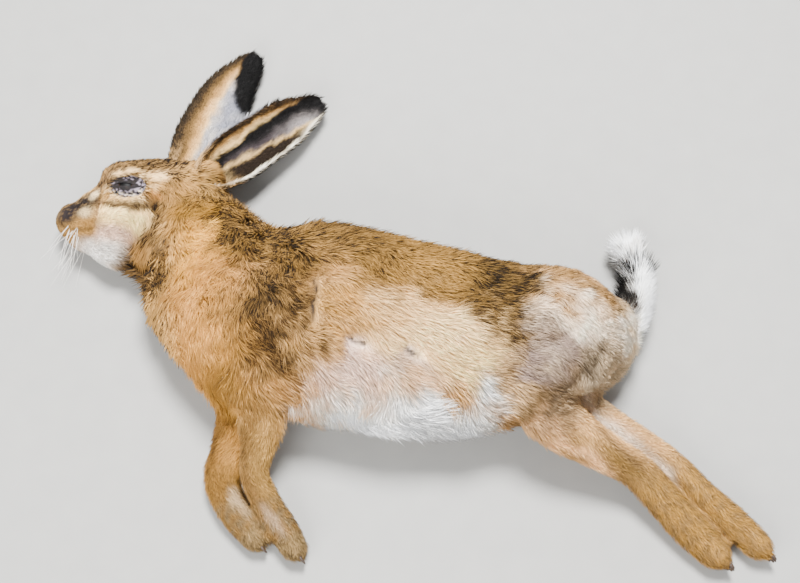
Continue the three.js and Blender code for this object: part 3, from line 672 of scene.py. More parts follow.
# Flank, from the shoulder to the haunch.
spots([
    (0, -52, 92, 50, 0, 0.7, 0xE0B880, WARM, 0.03),
    (-52, -34, 34, 30, 0, 0.7, 0xC4944E, BROWN, 0.14),
    (-40, -62, 26, 18, 0, 0.6, 0xBC925C, WARM, 0.06),
    (-24, -88, 62, 20, 0, 0.6, 0xE4C6B4, WARM, 0),
    (22, -56, 48, 28, 0, 0.7, 0xF8D49C, WARM, 0),
    (20, -92, 44, 13, 0, 0.6, 0xEEC696, WARM, 0),
    (84, -30, 30, 42, 24, 0.7, 0x785A2C, DARK, 0.5),
    (68, -84, 30, 20, -14, 0.8, 0xFFDA9C, WARM, 0),
])
# Neck, chest and shoulder.
paint(smooth(-120, -160, wx) * trunk, 0xB88440, BROWN, 0.12)
spots([
    (-196, 42, 26, 26, 0, 0.8, 0xDAA444, WARM, 0.04),
    (-172, -2, 24, 40, 20, 0.8, 0xBE8A42, WARM, 0.2),
    (-156, -58, 30, 34, 0, 0.8, 0xDCA250, 0x6A4A28, 0.16),
    (-166, -98, 26, 34, 0, 0.6, 0x9C702E, BROWN, 0.14),
    (-118, -20, 33, 42, 0, 0.8, 0x72562E, DARK, 0.5),
    (-120, -58, 25, 28, 0, 0.9, 0x664A26, DARK, 0.5),
])
# Back, rump and haunch.
ridge = smooth(0.16, 0.55, wn) * trunk * smooth(-205, -175, wx)
patchy = 0.3 * smooth(0.1, 0.9, wander(plan, 12, 3)) * smooth(30, 80, x)
ticked = np.interp(x, [-120, -60, 20, 70, 110], [0.5, 0.42, 0.26, 0.38, 0.44]) + patchy
paint(ridge * smooth(150, 105, wx), 0x7E5E2E, DARK, ticked)
paint(ridge * spot(24, 10, 46, 30, 0, 0.8), 0x987238, DARK, 0.26)
paint(ridge * spot(92, 0, 34, 34, 0, 0.8), 0x624A24, DARK, ticked)
paint(smooth(0.3, 0.6, wn) * smooth(105, 145, wx) * (trunk + own["left_hind"]), 0xE6B680, DARK, 0.14)
paint(spot(150, -78, 46, 52, 0, 0.7), 0xDABC94, share=0.04)
paint(smooth(178, 196, x) * ~is_ear * (1 - limbs), 0xDCC4A0, share=0.04)
paint(trunk * spot(94, -44, 20, 30, 24, 0.8) * 0.8, 0x785A2C, DARK, 0.5)
# Painted shade: a soft grey-lilac spot low on the flank.
paint(spot(10, -84, 17, 11, 0, 0.9) * 0.7, 0xB4A298, share=0)
# The haunch's pale fur, lifted to near white as a painted highlight on its top.
paint(spot(147, -47, 35, 23, -15, 0.9), 0xFBE9D2, share=0)
paint((trunk + own["left_hind"]) * spot(158, -3, 44, 17, -26, 0.9), 0x9C7644, DARK, 0.34)
paint(spot(122, -80, 22, 34, 12, 0.8), 0xA08A80, 0x4A3C34, 0.08)
# Painted shade along the fold between flank and thigh, over its pressed groove.
paint(stripe([(126, -40), (110, -68), (97, -94)], 8) * 0.7, 0x705A40, 0x3A2C1E, 0.2)
# Painted shade in the hollow behind the thigh: a soft greyish spot and a dark stripe along the pressed
# groove.
paint(spot(168, -90, 28, 24, -20, 0.95), 0xB09A7C, BROWN, 0.14)
paint(stripe([(160, -84), (151, -98), (143, -111)], 9), 0x584A3A, 0x241A12, 0.25)
paint(stripe([(214, -18), (202, -38), (196, -56)], 8), 0xF0E2D0, share=0)
# Belly, and the cracks in the flank's coat, laid near-black as painted shade.
sunk_edge = 0.14 * smooth(-10, -70, x)
below = smooth(-0.5, -0.82, wn + sunk_edge) * smooth(-104, -72, wx) * smooth(94, 66, wx)
paint(below * trunk, 0xFBF9F6, share=0)
crack, beside = np.zeros(count), np.zeros(count)
for line in (
    [(-78, -4), (-75, -16), (-78, -30), (-77, -44)], [(-44, -62), (-38, -66), (-31, -67)],
    [(5, -72), (10, -75), (15, -79)],
):
    d = off_line(plan, line) + 0.8 * wander(plan, 6, 2)
    d = np.where((z > MIDLINE) & (trunk > 0.3), d, FAR)
    crack = np.maximum(crack, bell(d, 2.6))
    beside = np.maximum(beside, bell(d, 12))
length *= 1 - 0.88 * beside
spots([
    (92, -96, 22, 16, -20, 0.8, 0xEAC492, WARM, 0.06),
    # Brown at the knee, darkened with painted shade.
    (106, -108, 24, 14, -20, 0.8, 0x94754C, 0x2A1E12, 0.25),
])
# Painted shade: near-black in the cracks of the coat.
paint(crack, 0x0E0C0E, share=0)
# Forelegs.
paws = smooth(-0.3, 0.5, wander(plan, 5, 1))
for name, colour, ticks, edge, dark_edge, more_ticks in (
    ("left_fore", 0xB08848, 0.12, (0.2, -0.6), 0x946F3C, 0.2),
    ("right_fore", 0xB88640, 0.14, (-0.1, -0.7), 0x7C5828, 0.24),
):
    leg = stretch(name, 0.14, 0.36)
    paint(leg, colour, BROWN, ticks)
    paint(leg * smooth(*edge, place[name]["n"]), dark_edge, BROWN, more_ticks)
wrist = stretch("right_fore", 0.45, 0.58) * smooth(0.8, 0.65, place["right_fore"]["s"])
paint(wrist, 0x926A30, 0x2E2012, 0.2)
for name in ("left_fore", "right_fore"):
    far = stretch(name, 0.62, 0.78)
    paint(far, 0x94703C, BROWN, 0.2)
    paint(far * paws * 0.8, 0x85704E, 0x2E241A, 0.3)
    paint(far * smooth(0.85, 0.95, place[name]["s"]), 0x93784D, 0x2E241A, 0.3)
paint(own["right_fore"] * spot(-148, -190, 12, 5.5, -55, 0.9), 0xC8AC84, share=0.03)
pale_line = own["left_fore"] * stripe([(-124, -194), (-112, -208), (-107, -216)], 4.5)
paint(pale_line * 0.8, 0xC4A684, share=0.03)
# Hind legs.
for name in ("left_hind", "right_hind"):
    far = stretch(name, 0.56, 0.7)
    paint(stretch(name, 0.3, 0.44), 0xE6B474, WARM, 0.1)
    paint(stretch(name, 0.3, 0.4) * smooth(0.3, -0.5, place[name]["n"]), 0xBE9458, share=0.14)
    paint(far, 0xB0843E, BROWN, 0.2)
    paint(far * paws * 0.7, 0x937244, 0x2E241A, 0.3)
paint(own["left_hind"] * spot(204, -162, 26, 13, -35), 0x98743C, BROWN, 0.25)
paint(own["left_hind"] * stripe([(118, -122), (148, -146), (178, -166)], 7), 0xF6C48C, share=0.02)
# Painted shade along the pressed groove on the shank.
paint(own["left_hind"] * stripe([(184, -132), (201, -149), (216, -164)], 4) * 0.6, 0x7C6040, share=0.2)
streak = own["right_hind"] * stripe([(172, -106), (190, -121), (208, -136), (228, -154), (246, -172)], 8)
paint(streak * smooth(0, 0.4, normals[:, 2]), 0xFBE6CE, share=0)
# The knee's brown, darkened with painted shade.
paint(own["left_hind"] * spot(122, -106, 28, 19, -35, 0.95), 0x7A6246, 0x2A1E12, 0.25)
# Head, from the crown down to the throat.
paint(head, 0xB88E50, BROWN, 0.32)
paint(head * smooth(106, 122, wy), 0x8C6C40, DARK, 0.5)
# Dark brow fur, deepened with painted shade in the hollow between muzzle and forehead.
spots([
    (-292, 118, 15, 12, 0, 0.6, 0x6A5030, DARK, 0.5),
    (-299, 110, 9, 6, 30, 0.6, 0x5A4630, DARK, 0.35),
], head)
rim = smooth(1.42, 1.12, eye_off) * smooth(-0.7, 0.3, wander(plan, 9, 3) + wander(plan, 2.5, 1)) * head
paint(rim, 0xE8C48C, BROWN, 0.08)
spots([
    # Painted shade again in that hollow, over dark brow fur.
    (-290, 112, 11, 11, 0, 0.6, 0x6A5030, DARK, 0.45),
    (-238, 119, 7, 5, 0, 0.6, 0xECC890, WARM, 0.08),
    (-238, 98, 7, 5, 0, 0.6, 0xC88C48, WARM, 0.1),
    (-263, 74, 31, 16, 0, 0.6, 0xFFDFA0, WARM, 0),
    (-278, 57, 24, 11, -5, 0.6, 0xDEBEA6, WARM, 0.03),
], head)
paint(head * stripe([(-298, 93), (-282, 87), (-262, 87), (-244, 89)], 3.4), 0x523C22, DARK, 0.35)
paint(head * stripe([(-240, 92), (-229, 82), (-230, 68), (-244, 53)], 8), 0x6A4E2A, DARK, 0.45)
paint(head * stripe([(-291, 91), (-293, 80), (-297, 66)], 3.2) * 0.7, 0x9A7650, share=0.1)
spots([
    (-305, 66, 12, 12, 0, 0.6, 0xB08648, BROWN, 0.2),
    (-313, 103, 14, 7, 15, 0.6, 0xC8A068, BROWN, 0.25),
], head)
blotch = smooth(-1.0, -0.1, wander(plan, 2.2, 3) + 0.4 * wander(plan, 5, 1))
paint(head * spot(-313, 90, 20, 12, 20) * 0.85, 0x6E5A40, DARK, 0.45)
paint(head * spot(-311, 92, 18, 10, 22) * blotch, 0x2C2624, DARK, 0.45)
paint(head * spot(-323, 83, 11, 13) * (0.5 + 0.5 * blotch), 0x2E282A, DARK, 0.4)
spots([
    (-306, 81, 6.5, 5.5, 0, 0.6, 0xD8BE90, BROWN, 0.2),
    (-336, 89, 6, 8, 0, 0.6, 0x8E7450, BROWN, 0.2),
    (-296, 99, 6, 4.5, 40, 0.6, 0xDCC49A, BROWN, 0.2),
    (-289, 45, 24, 10, -8, 0.6, 0xF6EEE6, WARM, 0),
    (-246, 46, 16, 13, 10, 0.6, 0xA67C44, DARK, 0.25),
], head)
# The throat's brown, darkened with painted shadow under the head.
paint(spot(-251, 24, 27, 15, -14) * (head + trunk), 0x503A1C, DARK, 0.35)
paint(spot(-192, 86, 24, 18) * ~is_ear * (trunk + own["skull"]), 0x946C2A, DARK, 0.35)
paint(ear_root * ~is_ear, 0xA88248, 0x2A1E12, 0.36)
# Tail: white, with the black side towards the back.
paint(stretch("tail", 0.02, 0.2), 0xFBF9F6, share=0)
low_down = smooth(0.5, 0.3, tail["s"])
dark_side = smooth(0.24, 0.46, tail["n"] + 0.4 * low_down + 0.1 * wander(plan, 8, 3))
dark_side *= smooth(0.84, 0.6, tail["s"])
paint(stretch("tail", 0.03, 0.14) * dark_side, 0x0E0B09, 0x060504, 0.5)
# Painted shade in the mouth line, the nostrils and the split of the lip.
paint(mouth_shade * 0.2, 0x2E2420, share=0)
paint(smooth(0.35, 0.9, eye_patch), 0x1E181A, share=0)

# The ears: bands from one edge to the other, a black wedge and a black tip.
INSIDE = [(-1, 0x3E2E1C), (-0.82, 0x5A4226), (-0.7, 0xB88C50), (-0.56, 0xE6C486), (-0.4, 0xE6C284),
          (0.3, 0xD8B478), (0.62, 0xD8B478), (0.8, 0xEED8AC), (1, 0xF6EEDC)]
OUTSIDE = [(-1, 0xB8B4B2), (-0.8, 0x9C9CA2), (-0.4, 0xA8A8B0), (-0.12, 0xD4CABC), (0.06, 0xE4BA7C),
           (0.26, 0xBC8E52), (0.38, 0x7C5E34), (0.7, 0x463622), (1, 0x2E2416)]
for key, (rows, share) in ear_share.items():
    u, v, layer = share.T
    part = plan[rows]
    fine = 0.5 * wander(part, 2.4, 4)
    v = v + 0.05 * wander(part, 9, 1) + 0.05 * fine
    u = u + 0.02 * wander(part, 10, 2) + 0.014 * fine
    inside = layer < 0.5
    edge_ticks = np.where(inside, smooth(-0.72, -0.86, v), smooth(0.3, 0.62, v))
    grizzle[rows] = 0.03 + 0.42 * edge_ticks
    bluish = smooth(-0.4, 0.6, wander(part, 9, 5)) * smooth(0.1, -0.1, v)
    low_edge = np.interp(u, [0.2, 0.35, 0.6, 0.8, 0.92, 1], [-0.34, -0.06, 0.24, 0.48, 0.9, 1.4])
    high_edge = np.interp(u, [0.2, 0.5, 0.75, 0.9, 1], [-0.4, -0.44, -0.58, -0.9, -1.4])
    wedge = smooth(high_edge - 0.05, high_edge + 0.07, v) * smooth(low_edge + 0.08, low_edge - 0.06, v)
    wedge *= smooth(0.16, 0.24, u)
    across = np.clip((v - high_edge) / (low_edge - high_edge), 0, 1)
    # Grey over the black inner wedge, towards its lower edge: partly the ear's grey inner hair, partly
    # painted sheen.
    grey_and_sheen = smooth(0.3, 0.95, across) * smooth(0.3, 0.5, u) * smooth(0.95, 0.86, u)
    silver = toward(linear(0x463E40), 0x9A9290, smooth(0.6, 0.85, u))
    patch = smooth(low_edge + 0.06, low_edge + 0.16, v) * smooth(0.95, 0.86, v)
    patch *= smooth(0.26, 0.38, u) * smooth(0.88, 0.74, u)
    back_edge = np.interp(u, [0.62, 0.7, 0.82, 0.93, 1], [-1.2, -0.5, 0.0, 0.45, 1.3])
    back = smooth(back_edge + 0.1, back_edge - 0.1, v) * smooth(0.6, 0.68, u)
    # The root of the ear is covered by the head's paler hair.
    length_share, width_share = share[:, 0], np.abs(share[:, 1])
    reach = np.where(width_share > 0.5, 0.42, 0.28)
    rooted = smooth(reach, reach - 0.14, length_share) * np.where(inside, 0.75, 1)
    colours = np.where(inside[:, None], bands(INSIDE, v), bands(OUTSIDE, v))
    for colour, amount in (
        (0x7C8090, 0.6 * bluish * ~inside), (0x20160C, patch * inside),
        (toward(linear(0x0A0808), silver, grey_and_sheen), wedge * inside),
        (0x060505, back * ~inside), (0xB08C5C, rooted),
    ):
        colours = toward(colours, colour, amount)
    mid[rows] = colours
    tips[rows] = linear(0x140E08)
    # Short hair, longer and more upright on the edges and at the root.
    edge, root = smooth(0.8, 1, width_share), smooth(0.25, 0.05, length_share)
    length[rows] = 4.6 + 3 * edge + 6 * root
    lift[rows] += 0.22 * edge + 0.2 * root

# Zones, one piece of coat each: name, tufts, and whether they are long.
HEAD, EARS, NECK, CHEST, LOIN, RUMP, THIGHS, FORELEGS, HIND_LEGS, TAIL = range(10)
EAR_TUFT_WIDTH = 1.6
ZONES = [
    ("coat_head", 46000, False), ("coat_ears", 38000, False), ("coat_neck", 28000, True),
    ("coat_chest", 31000, True), ("coat_loin", 31000, True), ("coat_rump", 29000, True),
    ("coat_thighs", 24000, True), ("coat_forelegs", 19000, True), ("coat_hind_legs", 22000, True),
    ("coat_tail", 16000, True),
]
zone = np.interp(x, [-151, -150, -61, -60, 69, 70], [NECK, CHEST, CHEST, LOIN, LOIN, RUMP])
zone = zone.round().astype(int)
owners = np.stack([own[name] for name in chains])
owner = np.array(list(chains))[owners.argmax(0)]
zone[owner == "tail"] = TAIL
for name in legs:
    is_fore = "fore" in name
    far = (owner == name) & (place[name]["s"] > (0.2 if is_fore else 0.3))
    if not is_fore:
        zone[owner == name] = THIGHS
    zone[far] = FORELEGS if is_fore else HIND_LEGS
zone[(owner == "skull") | (x < HEAD_FROM)] = HEAD
zone[is_ear] = EARS
# Fewer tufts on the side that lies down, and none on the eyes, in the cracks and at the
# open root of the ears.
dense = 0.3 + 0.7 * smooth(-0.4, 0.1, normals[:, 2])
dense[(zone == HEAD) & (eye_patch > 0.4)] = 0
dense[crack > 0.4] = 0
for key, (rows, share) in ear_share.items():
    dense[rows] = np.where(share[:, 0] < 0.04, 0, 0.8)


# The lids: an almond patch over each eye, open in a narrow slit with rolled edges.
SLIT = dict(half=10.5, open=1.7, tilt=-4.0)
LID = dict(across=64, out=18, half=22.5, high=17.5, over=1.0, thick=0.7)


def lids(side, skin_tree):
    """Points, faces, and for each point how far out it lies, whether it is on the upper
    lid, and whether it is on the outer face."""
    a = np.linspace(0, 2 * math.pi, LID["across"], endpoint=False)
    t = np.linspace(0, 1, LID["out"])
    tt, aa = np.meshgrid(t, a, indexing="ij")
    px = (SLIT["half"] + (LID["half"] - SLIT["half"]) * tt) * np.cos(aa)
    py = (SLIT["open"] + (LID["high"] - SLIT["open"]) * tt) * np.sin(aa)
    turn = math.radians(SLIT["tilt"])
    gx = EYE["x"] + px * math.cos(turn) - py * math.sin(turn)
    gy = EYE["y"] + px * math.sin(turn) + py * math.cos(turn)
    far = np.hypot(gx - EYE["x"], gy - EYE["y"])
    bulge = EYE["out"] + np.sqrt(np.maximum((EYE["radius"] + LID["over"]) ** 2 - far**2, 0))
    bulge += 0.35 * np.exp(-((tt - 0.05) / 0.07) ** 2)
    bulge -= 0.3 * np.exp(-((tt - 0.45) / 0.06) ** 2)
    level = np.zeros_like(gx)
    for i in np.ndindex(gx.shape):
        start = to_frame([gx[i], gy[i], MIDLINE + side * 150])
        hit = skin_tree.ray_cast(Vector(start), Vector((0, 0, -side)))[0]
        level[i] = (to_plan(hit)[2] - MIDLINE) * side if hit else 15.0
    outer = level[-1] - 1.0
    into = smooth(0.62, 1.0, tt)
    height = np.maximum(bulge, level + 0.2) * (1 - into) + outer[None] * into
    size = gx.size
    top = np.stack([gx, gy, MIDLINE + side * height], -1).reshape(-1, 3)
    low = np.stack([gx, gy, MIDLINE + side * (height - LID["thick"])], -1).reshape(-1, 3)
    points = np.vstack([top, low])
    points[:, 2] = np.maximum(points[:, 2], SKIN_CLEAR)
    faces = []
    wide, last = LID["across"], (LID["out"] - 1) * LID["across"]
    for j in range(wide):
        k = (j + 1) % wide
        for i in range(0, last, wide):
            faces.append([i + j, i + wide + j, i + wide + k, i + k])
            faces.append([size + i + k, size + i + wide + k, size + i + wide + j, size + i + j])
        faces.append([j, k, size + k, size + j])
        faces.append([last + k, last + j, size + last + j, size + last + k])
    if side < 0:
        faces = [f[::-1] for f in faces]
    upper = np.sin(aa).ravel()
    return points, faces, np.tile(tt.ravel(), 2), np.tile(upper, 2), np.repeat([1.0, 0.0], size)


skin_tree = BVHTree.FromPolygons(
    [tuple(p) for p in co[:body_count]], [f for f in faces if max(f) < body_count]
)
for side in (1, -1):
    p, more, out, upper, shown = lids(side, skin_tree)
    start = len(co)
    faces += [[i + start for i in f] for f in more]
    co = np.vstack([co, to_frame(p)])
    mottle = smooth(0.3, 1.0, wander(p, 2.2, 2) + 0.35 * (p[:, 0] - EYE["x"]) / 10)
    fleck = smooth(0.1, 0.6, wander(p, 1.8, 3)) * smooth(0.1, -0.5, upper) * smooth(0.3, 0.6, out)
    fringe = smooth(0.86, 1.0, out + 0.12 * wander(p, 3, 1))
    colour = linear(0x100D0E)
    for goal, amount in (
        (0x807682, mottle), (0xD8C8B4, fleck), (0xDCBE8A, fringe), (0x120F10, smooth(0.3, 0.12, out)),
    ):
        colour = toward(colour, goal, amount)
    mid = np.vstack([mid, colour])
    tips = np.vstack([tips, np.tile(linear(0x3A302A), (len(p), 1))])
    grizzle = np.append(grizzle, np.full(len(p), 0.15))
    length = np.append(length, 1.2 + 1.6 * smooth(0.3, 1, out))
    lift = np.append(lift, np.full(len(p), 0.16))
    away = np.stack([np.full(len(p), 0.8), np.where(upper > 0, 0.5, -0.5), np.zeros(len(p))], 1)
    lie = np.vstack([lie, away])
    dense = np.append(dense, smooth(0.2, 0.5, out) * shown * 0.9)
    zone = np.append(zone, np.full(len(p), HEAD))
count = len(co)
tris = fans(faces)
normals = vertex_normals(co, tris)
lie = unit(lie - normals * (lie * normals).sum(1, keepdims=True))

skin_mesh = new_mesh("skin", co, faces)
shade_smooth(skin_mesh)


def keep(mesh, name, kind, values, domain="POINT"):
    """Stores values on the mesh as a named attribute."""
    field = {"FLOAT_VECTOR": "vector", "FLOAT_COLOR": "color", "FLOAT2": "vector"}.get(kind, "value")
    mesh.attributes.new(name, kind, domain).data.foreach_set(field, np.asarray(values).ravel())


def rgba(colour):
    """Linear colours as rows of four, for a mesh attribute."""
    return np.hstack([np.clip(colour, 0, 1), np.ones((len(colour), 1))])


for name, kind, values in (
    ("mid", "FLOAT_COLOR", rgba(mid)), ("tips", "FLOAT_COLOR", rgba(tips)),
    ("grizzle", "FLOAT", grizzle), ("hair_length", "FLOAT", length), ("lift", "FLOAT", lift),
    ("lie", "FLOAT_VECTOR", lie), ("dense", "FLOAT", dense),
):
    keep(skin_mesh, name, kind, values)
face_zone = zone[[f[0] for f in faces]]
keep(skin_mesh, "zone", "INT", face_zone, "FACE")

skin = new_object("skin", skin_mesh)
skin_mesh.uv_layers.new(name="OFBake")
bpy.context.view_layer.objects.active = skin
skin.select_set(True)
bpy.ops.object.mode_set(mode="EDIT")
bpy.ops.mesh.select_all(action="SELECT")
bpy.ops.uv.smart_project(angle_limit=math.radians(60), island_margin=0.002)
bpy.ops.object.mode_set(mode="OBJECT")
skin.select_set(False)
skin_mesh = skin.data


def in_use(sockets, name=None):
    """The first socket in use, or the first of that name."""
    return next(s for s in sockets if s.enabled and name in (None, s.name))


def feed(tree, node, inputs):
    """Fills inputs, by name or number, with values or with links from sockets or nodes."""
    for key, value in inputs.items() if isinstance(inputs, dict) else enumerate(inputs):
        into = node.inputs[key] if isinstance(key, int) else in_use(node.inputs, key)
        if isinstance(value, bpy.types.Node):
            value = in_use(value.outputs)
        if isinstance(value, bpy.types.NodeSocket):
            tree.links.new(value, into)
        else:
            into.default_value = value


def add(tree, kind, inputs=(), **settings):
    """One more node with its settings and its inputs."""
    made = tree.nodes.new(kind)
    for name, value in settings.items():
        setattr(made, name, value)
    feed(tree, made, inputs)
    return made


def rgb(hex_colour):
    """One sRGB hex colour for a node's socket."""
    return (*linear(hex_colour), 1)


def principled(name, **constants):
    """A new material, its tree and its shader, with constants set on the shader."""
    made = bpy.data.materials.new(name)
    made.use_nodes = True
    shader = next(n for n in made.node_tree.nodes if n.type == "BSDF_PRINCIPLED")
    for key, value in constants.items():
        shader.inputs[key.replace("_", " ")].default_value = value
    return made, made.node_tree, shader


ATTRIBUTE, COORDINATES, NOISE = "ShaderNodeAttribute", "ShaderNodeTexCoord", "ShaderNodeTexNoise"
RANGE, MATH, VECTOR_MATH = "ShaderNodeMapRange", "ShaderNodeMath", "ShaderNodeVectorMath"
MIX, BUMP, STORE = "ShaderNodeMix", "ShaderNodeBump", "GeometryNodeStoreNamedAttribute"
SOFT = dict(interpolation_type="SMOOTHSTEP")
BLEND = dict(data_type="RGBA", clamp_result=True)
DARKEN = dict(BLEND, blend_type="MULTIPLY")
TIMES, PLUS, MINUS = (dict(operation=name) for name in ("MULTIPLY", "ADD", "SUBTRACT"))
# Noise cells per metre, and the size of one cell on the animal.
FELT_GRAIN = 900.0  # 1.1 mm
FELT_PATCH = 160.0  # 6 mm
IRIS_STREAK = 1400.0  # 0.7 mm
HORN_GRAIN = 500.0  # 2 mm
WHISKER_CHANGE = 60.0  # 17 mm
HAIR_CLUMP = 330.0  # 3 mm
HAIR_LOCK = 190.0  # 5 mm
FLOOR_GRAIN = 40.0  # 25 mm


def fur_look():
    """Guard hairs over soft underfur: shaded roots, a warm middle, dark tips on some."""
    made, tree, shader = principled("hare_fur", Roughness=0.75, Specular_IOR_Level=0.14)
    along, tone, share, vary = (
        add(tree, ATTRIBUTE, attribute_name=name).outputs["Fac"]
        for name in ("along", "tone", "grizzle", "vary")
    )
    middle, ends = (add(tree, ATTRIBUTE, attribute_name=name) for name in ("mid", "tips"))
    # The root is shaded, on dark fur more than on pale fur, and takes some of the tips' colour.
    level = add(tree, "ShaderNodeRGBToBW", [middle])
    shade = add(tree, RANGE, [level, 0.15, 0.75, 0.5, 0.86], **SOFT)
    root = add(tree, MIX, {"Factor": 1, "A": middle, "B": shade}, **DARKEN)
    taken = add(tree, MATH, [share, 1.3], **TIMES)
    root = add(tree, MIX, {"Factor": taken, "A": root, "B": ends}, **BLEND)
    # The middle follows, and the tip pales a little in the light.
    body = add(tree, RANGE, [along, 0.1, 0.6], **SOFT)
    hair = add(tree, MIX, {"Factor": body, "A": root, "B": middle}, **BLEND)
    bleached = add(tree, RANGE, [along, 0.4, 1.0], **SOFT)
    hair = add(tree, MIX, {"Factor": bleached, "A": hair, "B": (1.25, 1.22, 1.16, 1)}, **DARKEN)
    # A share of the hairs ends dark, and neighbours differ in brightness.
    dark_one = add(tree, MATH, [tone, share], operation="LESS_THAN")
    outer = add(tree, RANGE, [along, 0.25, 0.6], **SOFT)
    dark = add(tree, MATH, [dark_one, outer], **TIMES)
    hair = add(tree, MIX, {"Factor": dark, "A": hair, "B": ends}, **BLEND)
    bright = add(tree, RANGE, [vary, 0, 1, 0.68, 1.2], **SOFT)
    hair = add(tree, MIX, {"Factor": 1, "A": hair, "B": bright}, **DARKEN)
    feed(tree, shader, {"Base Color": hair})
    return made


def skin_look():
    """The short dense underfur seen between the hairs, and the bare rims and nose."""
    made, tree, shader = principled("hare_underfur", Roughness=0.8, Specular_IOR_Level=0.2)
    where = add(tree, COORDINATES).outputs["Object"]
    fine = add(tree, NOISE, {"Vector": where, "Scale": FELT_GRAIN, "Detail": 3})
    patch = add(tree, NOISE, {"Vector": where, "Scale": FELT_PATCH, "Detail": 3})
    middle, ends, share = (
        add(tree, ATTRIBUTE, attribute_name=name) for name in ("mid", "tips", "grizzle")
    )
    felt = add(tree, MIX, {"Factor": 1, "A": middle, "B": (0.9, 0.88, 0.86, 1)}, **DARKEN)
    clouded = add(tree, RANGE, [patch, 0.45, 0.6], **SOFT)
    share = add(tree, MATH, [share.outputs["Fac"], clouded], **TIMES)
    felt = add(tree, MIX, {"Factor": share, "A": felt, "B": ends}, **BLEND)
    bump = add(tree, BUMP, {"Strength": 0.6, "Distance": 0.6 * MM, "Height": fine})
    feed(tree, shader, {"Base Color": felt, "Normal": bump})
    return made


def eye_look():
    """A dark brown iris round a large black pupil, with a dull, moist sheen."""
    made, tree, shader = principled("eye_gloss", Roughness=0.55, Specular_IOR_Level=0.12)
    where = add(tree, COORDINATES).outputs["Object"]
    centre = tuple(to_frame([EYE["x"], EYE["y"], 0]))
    off = add(tree, VECTOR_MATH, [where, centre], **MINUS)
    flat = add(tree, VECTOR_MATH, [off, (1, 1, 0)], **TIMES)
    away = add(tree, VECTOR_MATH, [flat], operation="LENGTH").outputs["Value"]
    streaks = add(tree, NOISE, {"Vector": where, "Scale": IRIS_STREAK})
    iris = add(tree, MIX, {"Factor": streaks, "A": rgb(0x140B05), "B": rgb(0x2C190A)}, **BLEND)
    pupil_edge = add(tree, RANGE, [away, 5.2 * MM, 6.2 * MM], **SOFT)
    eye = add(tree, MIX, {"Factor": pupil_edge, "A": rgb(0x050404), "B": iris}, **BLEND)
    iris_edge = add(tree, RANGE, [away, 8.8 * MM, 9.8 * MM], **SOFT)
    eye = add(tree, MIX, {"Factor": iris_edge, "A": eye, "B": rgb(0x1A100A)}, **BLEND)
    feed(tree, shader, {"Base Color": eye})
    return made


def grained_look(name, scale, dark, light, detail=2.0, bump=None, **constants):
    """Two colours that change with a grain, with or without a bump of strength and height."""
    made, tree, shader = principled(name, **constants)
    where = add(tree, COORDINATES).outputs["Object"]
    grain = add(tree, NOISE, {"Vector": where, "Scale": scale, "Detail": detail})
    colour = add(tree, MIX, {"Factor": grain, "A": rgb(dark), "B": rgb(light)}, **BLEND)
    feed(tree, shader, {"Base Color": colour})
    if bump:
        relief = add(tree, BUMP, {"Strength": bump[0], "Distance": bump[1], "Height": grain})
        feed(tree, shader, {"Normal": relief})
    return made


def claw_look():
    """Dark horn with a fine grain."""
    return grained_look("claw_horn", HORN_GRAIN, 0x1E1611, 0x4A3A2E, 4, (0.3, 0.2 * MM),
                        Roughness=0.5, Specular_IOR_Level=0.3)


def whisker_look():
    """Stiff pale hairs with a soft shine."""
    return grained_look("whisker_hair", WHISKER_CHANGE, 0xD8D2C8, 0xF6F3EC, Roughness=0.35)


MAP_SHARE = 0.003  # the width of a tuft on the skin's map
HELD_DOWN = 0.75  # this much of a tuft's upward stray is taken back
LOCK_LEAN = 0.9
TUFT_BASE, TUFT_GAIN = 0.2, 0.016  # width of a tuft in millimetres, and per millimetre of length

# Tufts: one unit long on Z, a unit wide on Y, bent up and back on X.
def tuft(name, rings, thick, bend, side):
    """One tuft: three-sided rings of place and width, closed in a point."""
    points, along, patch = [], [], []
    for t, r in rings:
        for i in range(3):
            a = 2 * math.pi * i / 3 + math.pi / 2
            x0 = bend * t * (1 - t) * 4
            points.append((x0 + thick * r * math.cos(a), side * t * t + 0.58 * r * math.sin(a), t))
            along.append(t)
            patch.append((math.cos(a) * 0.5 * (1 - 0.75 * t), math.sin(a) * 0.5 * (1 - 0.75 * t)))
    points.append((0, side, 1))
    along.append(1.0)
    patch.append((0, 0))
    faces = [(2, 1, 0)]
    for k in range(0, (len(rings) - 1) * 3, 3):
        for i in range(3):
            j = (i + 1) % 3
            faces += [(k + i, k + j, k + 3 + j), (k + i, k + 3 + j, k + 3 + i)]
    k = (len(rings) - 1) * 3
    faces += [(k + i, k + (i + 1) % 3, len(points) - 1) for i in range(3)]
    mesh = new_mesh(name, points, faces)
    shade_smooth(mesh)
    keep(mesh, "along", "FLOAT", along)
    keep(mesh, "patch", "FLOAT2", patch)
    return bpy.data.objects.new(name, mesh)


def tuft_set(name, rings, thick, bends):
    """A collection of tufts that differ in their bend and their side lean."""
    made = bpy.data.collections.new(name)
    for i, (bend, side) in enumerate(bends):
        made.objects.link(tuft(f"{name}_{i}", rings, thick, bend, side))
    return made


BENDS = [(0.05, 0), (0.08, 0.9), (0.07, -0.9), (0.1, 1.8)]
LEANS = [(0, 0), (0, 0.5), (0, -0.5), (0, 1.2), (0, -1.2), (0, 2), (0, -2), (0, 0.2)]
short_tufts = tuft_set("short_hairs", [(0, 1)], 0.09, LEANS[:4])
long_tufts = tuft_set("long_hairs", [(0, 0.8), (0.55, 1)], 0.02, BENDS)
for straight in list(tuft_set("straight_hairs", [(0, 1)], 0.02, LEANS).objects):
    long_tufts.objects.link(straight)


